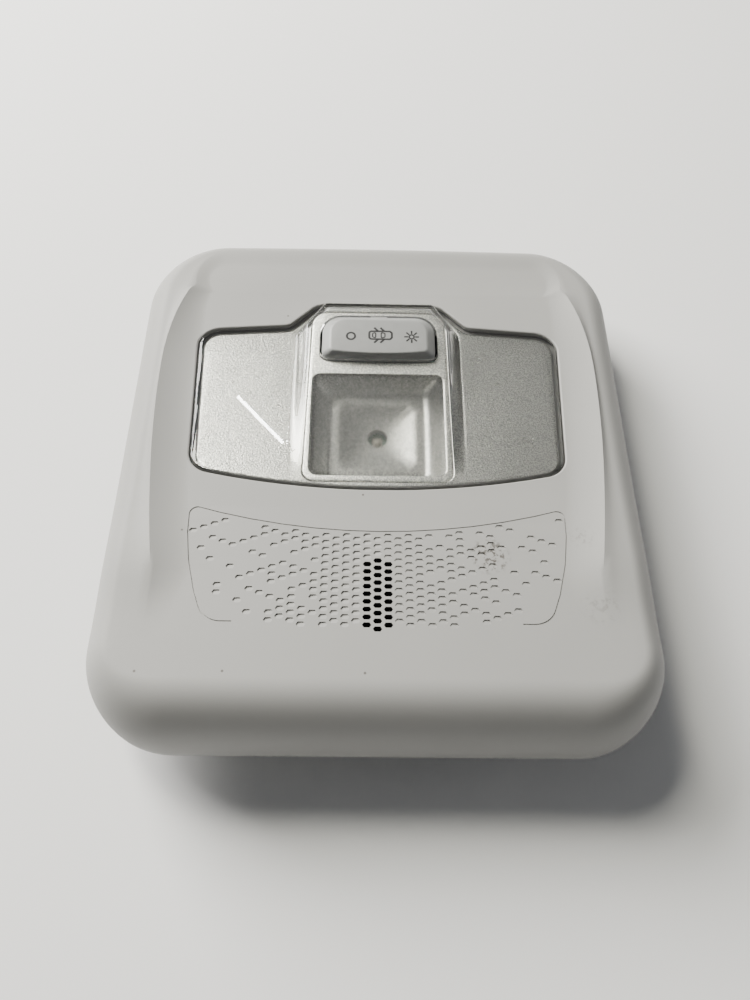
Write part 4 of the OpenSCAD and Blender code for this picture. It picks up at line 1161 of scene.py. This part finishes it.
def make_key(grey):
    """The rocker key: a drafted cap with rolled edges on a hollow skirt, two pins and a lever."""
    bm = bmesh.new()
    rings = [placed(key_outline(0), z, KEY) for z in (-KEY_SKIRT, -KEY_FOOT_DROP)]
    rings.append(placed(grown(key_outline(0), -KEY_FOOT_INSET), KEY_FOOT_RISE, KEY))
    shoulder = 1 - KEY_ROLL / KEY_RISE
    for i in range(1, 6):
        share = i / 5 * shoulder
        rings.append(placed(key_ring(share), KEY_RISE * share, KEY))
    for run, rise in quarter(5)[1:]:
        share = shoulder + (1 - shoulder) * rise
        rings.append(placed(grown(key_ring(share), -KEY_ROLL * (1 - run)), KEY_RISE * share, KEY))
    solid_loft(bm, rings)
    key = as_object(bm, "rocker_cap", (grey, grey))
    carve(key, key_opening, -KEY_WALL - KEY_DRAFT * 0.4, -KEY_SKIRT - 1, KEY_RISE - KEY_WALL)
    bm = bmesh.new()
    pivot = shift(0, 0, -PIVOT_DEPTH) @ LENGTHWAYS
    for y in (0, KEY_L - KEY_WALL):
        lug = KEY @ shift(0, y)
        rod(bm, LUG_HALF_W, 0, KEY_WALL, lug @ pivot, material=1)
        slab(bm, (-LUG_HALF_W, 0, -PIVOT_DEPTH), (LUG_HALF_W, KEY_WALL, 0.5), lug, 1)
    pin_reach = KEY_GAP + CHEEK_GAP + CHEEK_T + PIN_END
    for low, high in ((-pin_reach, 0.5), (KEY_L - 0.5, KEY_L + pin_reach)):
        rod(bm, PIVOT_R, low, high, KEY @ pivot, material=1)
    middle, foot, top = KEY_L / 2, -PIVOT_DEPTH - LEVER_L, KEY_RISE - KEY_WALL / 2
    low, high = (-LEVER_T / 2, middle - LEVER_W / 2, foot), (LEVER_T / 2, middle + LEVER_W / 2, top)
    slab(bm, low, high, KEY, 1)
    rod(bm, LEVER_END_R, -LEVER_W / 2, LEVER_W / 2, KEY @ shift(0, middle, foot) @ LENGTHWAYS, material=1)
    join(key, as_object(bm, "key_pins_and_lever"), "UNION")
    settle(key, "rocker", "key_grey", "rocker_key")


def stroke(bm, points, width, place, closed=True):
    """A flat printed line through points, as a thin film."""
    film = 0.02
    if closed:
        sides = (grown(points, width / 2), grown(points, -width / 2))
        loops = [ring(bm, placed(side, 0, place)) for side in sides]
        faces = bmesh.ops.bridge_loops(bm, edges=loops[0] + loops[1])["faces"]
    else:
        along = (points[-1] - points[0]).normalized()
        side = Vector((-along.y, along.x)) * width / 2
        end = along * width / 2
        corners = [points[0] + side - end, points[0] - side - end]
        corners += [points[-1] - side + end, points[-1] + side + end]
        faces = cap(bm, ring(bm, placed(corners, 0, place)))
    top = bmesh.ops.extrude_face_region(bm, geom=faces)["geom"]
    lift = (place.to_3x3() @ Vector((0, 0, 1))) * film
    bmesh.ops.translate(bm, vec=lift, verts=only(BMVert, top))


def circle(centre, radius):
    """Points round a circle."""
    steps = 28
    return [Vector(centre) + radius * ray(2 * pi * i / steps) for i in range(steps)]


def make_symbols(ink):
    """Three generic signs printed on the key: off, with the doors, and on."""
    place = KEY @ shift(0, 7.5, KEY_RISE + 0.005)
    line, fine, finest = 0.74, 0.6, 0.46
    bm = bmesh.new()
    stroke(bm, circle((-9.9, 0), 1.46), line, place)
    car = place @ shift(0.5, 0.5)
    nose = [(3.5, -1.7, 0.5), (4.15, -1, 0.4), (4.15, 1, 0.4), (3.5, 1.7, 0.5)]
    body = [(-3.9, -1.7, 0.9), *nose, (-3.9, 1.7, 0.9)]
    stroke(bm, rounded(body, 4), line, car)
    rear_window = [(-2.7, -0.8, 0.35), (-1.6, -1.1, 0.3), (-1.6, 1.1, 0.3), (-2.7, 0.8, 0.35)]
    windscreen = [(0.35, -1.1, 0.3), (1.7, -0.85, 0.35), (1.7, 0.85, 0.35), (0.35, 1.1, 0.3)]
    for window in (rear_window, windscreen):
        stroke(bm, rounded(window, 3), finest, car)
    for x in (-1.9, 0.3):
        for side in (-1, 1):
            stroke(bm, [Vector((x, side * 3)), Vector((x + 0.9, side * 2.05))], line, car, closed=False)
    sun = Vector((11.7, 0))
    stroke(bm, circle(sun, 0.85), fine, place)
    for i in range(8):
        out = ray(i * pi / 4)
        stroke(bm, [sun + out * 1.55, sun + out * 2.35], fine, place, closed=False)
    settle(as_object(bm, "key_symbols", (ink,)), "rocker", "key_grey")


def rounded_copy(node, width, finish, slot):
    """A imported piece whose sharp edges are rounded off, to stand in for it."""
    bm = bmesh.new()
    bm.from_mesh(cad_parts[node].data)
    bmesh.ops.scale(bm, vec=Vector((1, 1, 1)) / MM, verts=bm.verts)
    bmesh.ops.remove_doubles(bm, verts=bm.verts, dist=0.002)
    bmesh.ops.dissolve_limit(bm, angle_limit=radians(0.5), verts=bm.verts, edges=bm.edges)
    turns = [edge for edge in bm.edges if edge.is_manifold and edge.calc_face_angle() > radians(35)]
    bmesh.ops.bevel(
        bm, geom=turns, offset=width, offset_type="OFFSET", segments=2, profile=0.5, affect="EDGES",
        clamp_overlap=True, material=-1)
    settle(as_object(bm, node + "_moulding", (finish,)), "lamp", slot, node)


def dress_nodes(finishes):
    """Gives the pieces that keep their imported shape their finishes."""
    for node, finish in finishes.items():
        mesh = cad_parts[node].data
        mesh.materials.clear()
        mesh.materials.append(finish)


def make_stage():
    """A pale floor under the lamp and a faint even light from all round."""
    bm = bmesh.new()
    bmesh.ops.create_grid(bm, x_segments=2, y_segments=2, size=3)
    mesh = bpy.data.meshes.new("floor")
    bm.to_mesh(mesh)
    bm.free()
    finish = Finish("pale_floor")
    mesh.materials.append(finish.show({"Base Color": colour(0.95, 0.95, 0.95), "Roughness": 0.9}))
    add_object("floor", mesh)
    world = bpy.data.worlds.new("studio")
    world.use_nodes = True
    background = world.node_tree.nodes["Background"].inputs
    background["Color"].default_value = colour(0.95, 0.97, 1)
    background["Strength"].default_value = 0.1
    bpy.context.scene.world = world


def make_light(name, direction, distance, size, power, tint=(1, 1, 1)):
    """A soft area light in a direction from the lamp, facing it. Sizes in metres, power in watts."""
    light = bpy.data.lights.new(name, "AREA")
    light.shape = "RECTANGLE"
    light.size, light.size_y = size
    light.energy = power
    light.color = tint
    holder = add_object(name, light)
    towards = Vector(direction).normalized()
    holder.location = towards * distance
    holder.rotation_euler = towards.to_track_quat("Z", "Y").to_euler()
    return holder


def make_strip_light():
    """A thin tube light, which the clear lens mirrors as a bright stroke on its left wing."""
    ends = [Vector(spot) * MM + Vector(direction) * 1.2 for spot, direction in (
        ((-48.9, 18.5, 34.4), (-0.166, 0.647, 0.745)), ((-32, -0.7, 35.3), (-0.108, 0.606, 0.788)))]
    middle = (ends[0] + ends[1]) / 2
    along = ends[0] - ends[1]
    strip = make_light("strip_light", middle, middle.length, (along.length, 0.006), 0.4)
    z = middle.normalized()
    x = (along - z * along.dot(z)).normalized()
    strip.rotation_euler = Matrix((x, z.cross(x), z)).transposed().to_euler()


def make_lights():
    """Soft light from the far upper left, a faint fill from the right, and the mirrored stroke."""
    make_light("key_light", (-0.62, 0.56, 0.51), 1.5, (0.9, 0.8), 62, (1, 0.98, 0.93))
    make_light("window_light", (-0.38, 0.45, 0.81), 1.6, (0.36, 0.36), 15, (1, 0.98, 0.86))
    make_light("side_fill", (0.95, 0, 0.25), 1.5, (1, 0.5), 3)
    make_strip_light()


def main():
    grey = soft_grey("moulded_soft_grey", 0.36)
    black = black_plastic("housing_black_plastic", 0.022)
    make_bezel(grey, plain_plastic("grille_hole_painted_shade", (0.05, 0.05, 0.05), 0.7))
    # The lens's third finish is opaque dark grey, painted shade for the clear edge's dark look
    make_lens(
        clear_plastic("clear_lens_plastic"), clear_plastic("clear_lens_underside", 0.22),
        plain_plastic("lens_edge_painted_shade", (0.12, 0.12, 0.115), 0.3))
    make_mask(grained_silver("satin_silver_paint", 0.4, 0.25, 0.6, 0.15))
    # The pan's metal is the frame's vacuum metal painted much darker, as painted shade
    make_reflector(
        grained_silver("bright_vacuum_metal", 0.62, 0.3, 0.7, 0.12),
        grained_silver("pan_painted_shade_metal", 0.25, 0.28, 0.8, 0.05))
    make_key(plain_plastic("key_soft_grey", (0.33, 0.335, 0.33), 0.4))
    make_symbols(plain_plastic("symbol_ink", (0.018, 0.018, 0.02), 0.6))
    zinc = plain_steel("zinc_plated_steel", 0.62, 0.3)
    spring = plain_steel("spring_steel_strip", 0.5, 0.28)
    gold = plain_steel("contact_gold", 0.7, 0.25)
    chip = plain_plastic("chip_black", (0.02, 0.02, 0.02), 0.4)
    for node, width in (("rear_housing", 0.4), ("mic_holder", 0.25), ("switch_base", 0.15)):
        rounded_copy(node, width, black, "housing_black")
    for node, width in (("housing_screws", 0.12), ("board_screws", 0.1)):
        rounded_copy(node, width, zinc, "zinc_steel")
    for node in ("clip_far_left", "clip_far_right", "clip_near_left", "clip_near_right"):
        rounded_copy(node, 0.12, spring, "spring_steel")
    for node, width in (("connector_header", 0.2), ("driver_chip", 0.1)):
        rounded_copy(node, width, chip, "chip_black")
    rounded_copy("circuit_board", 0.12, plain_plastic("board_green", (0.02, 0.07, 0.04), 0.35), "board_green")
    dress_nodes({
        "detent_spring": spring, "header_pins": gold, "wiper_contact": gold, "resistors": chip,
        "led": plain_plastic("led_yellow", (0.16, 0.15, 0.11), 0.4),
        "switch_slider": plain_plastic("slider_white", (0.75, 0.75, 0.72), 0.4),
        "mic_foam": plain_plastic("foam_black", (0.012, 0.012, 0.012), 0.9, 0.8),
        "mic_capsule": plain_steel("capsule_metal", 0.65, 0.3),
        "mic_lead": plain_plastic("lead_black", (0.02, 0.02, 0.02), 0.45),
    })
    make_stage()
    make_lights()


main()
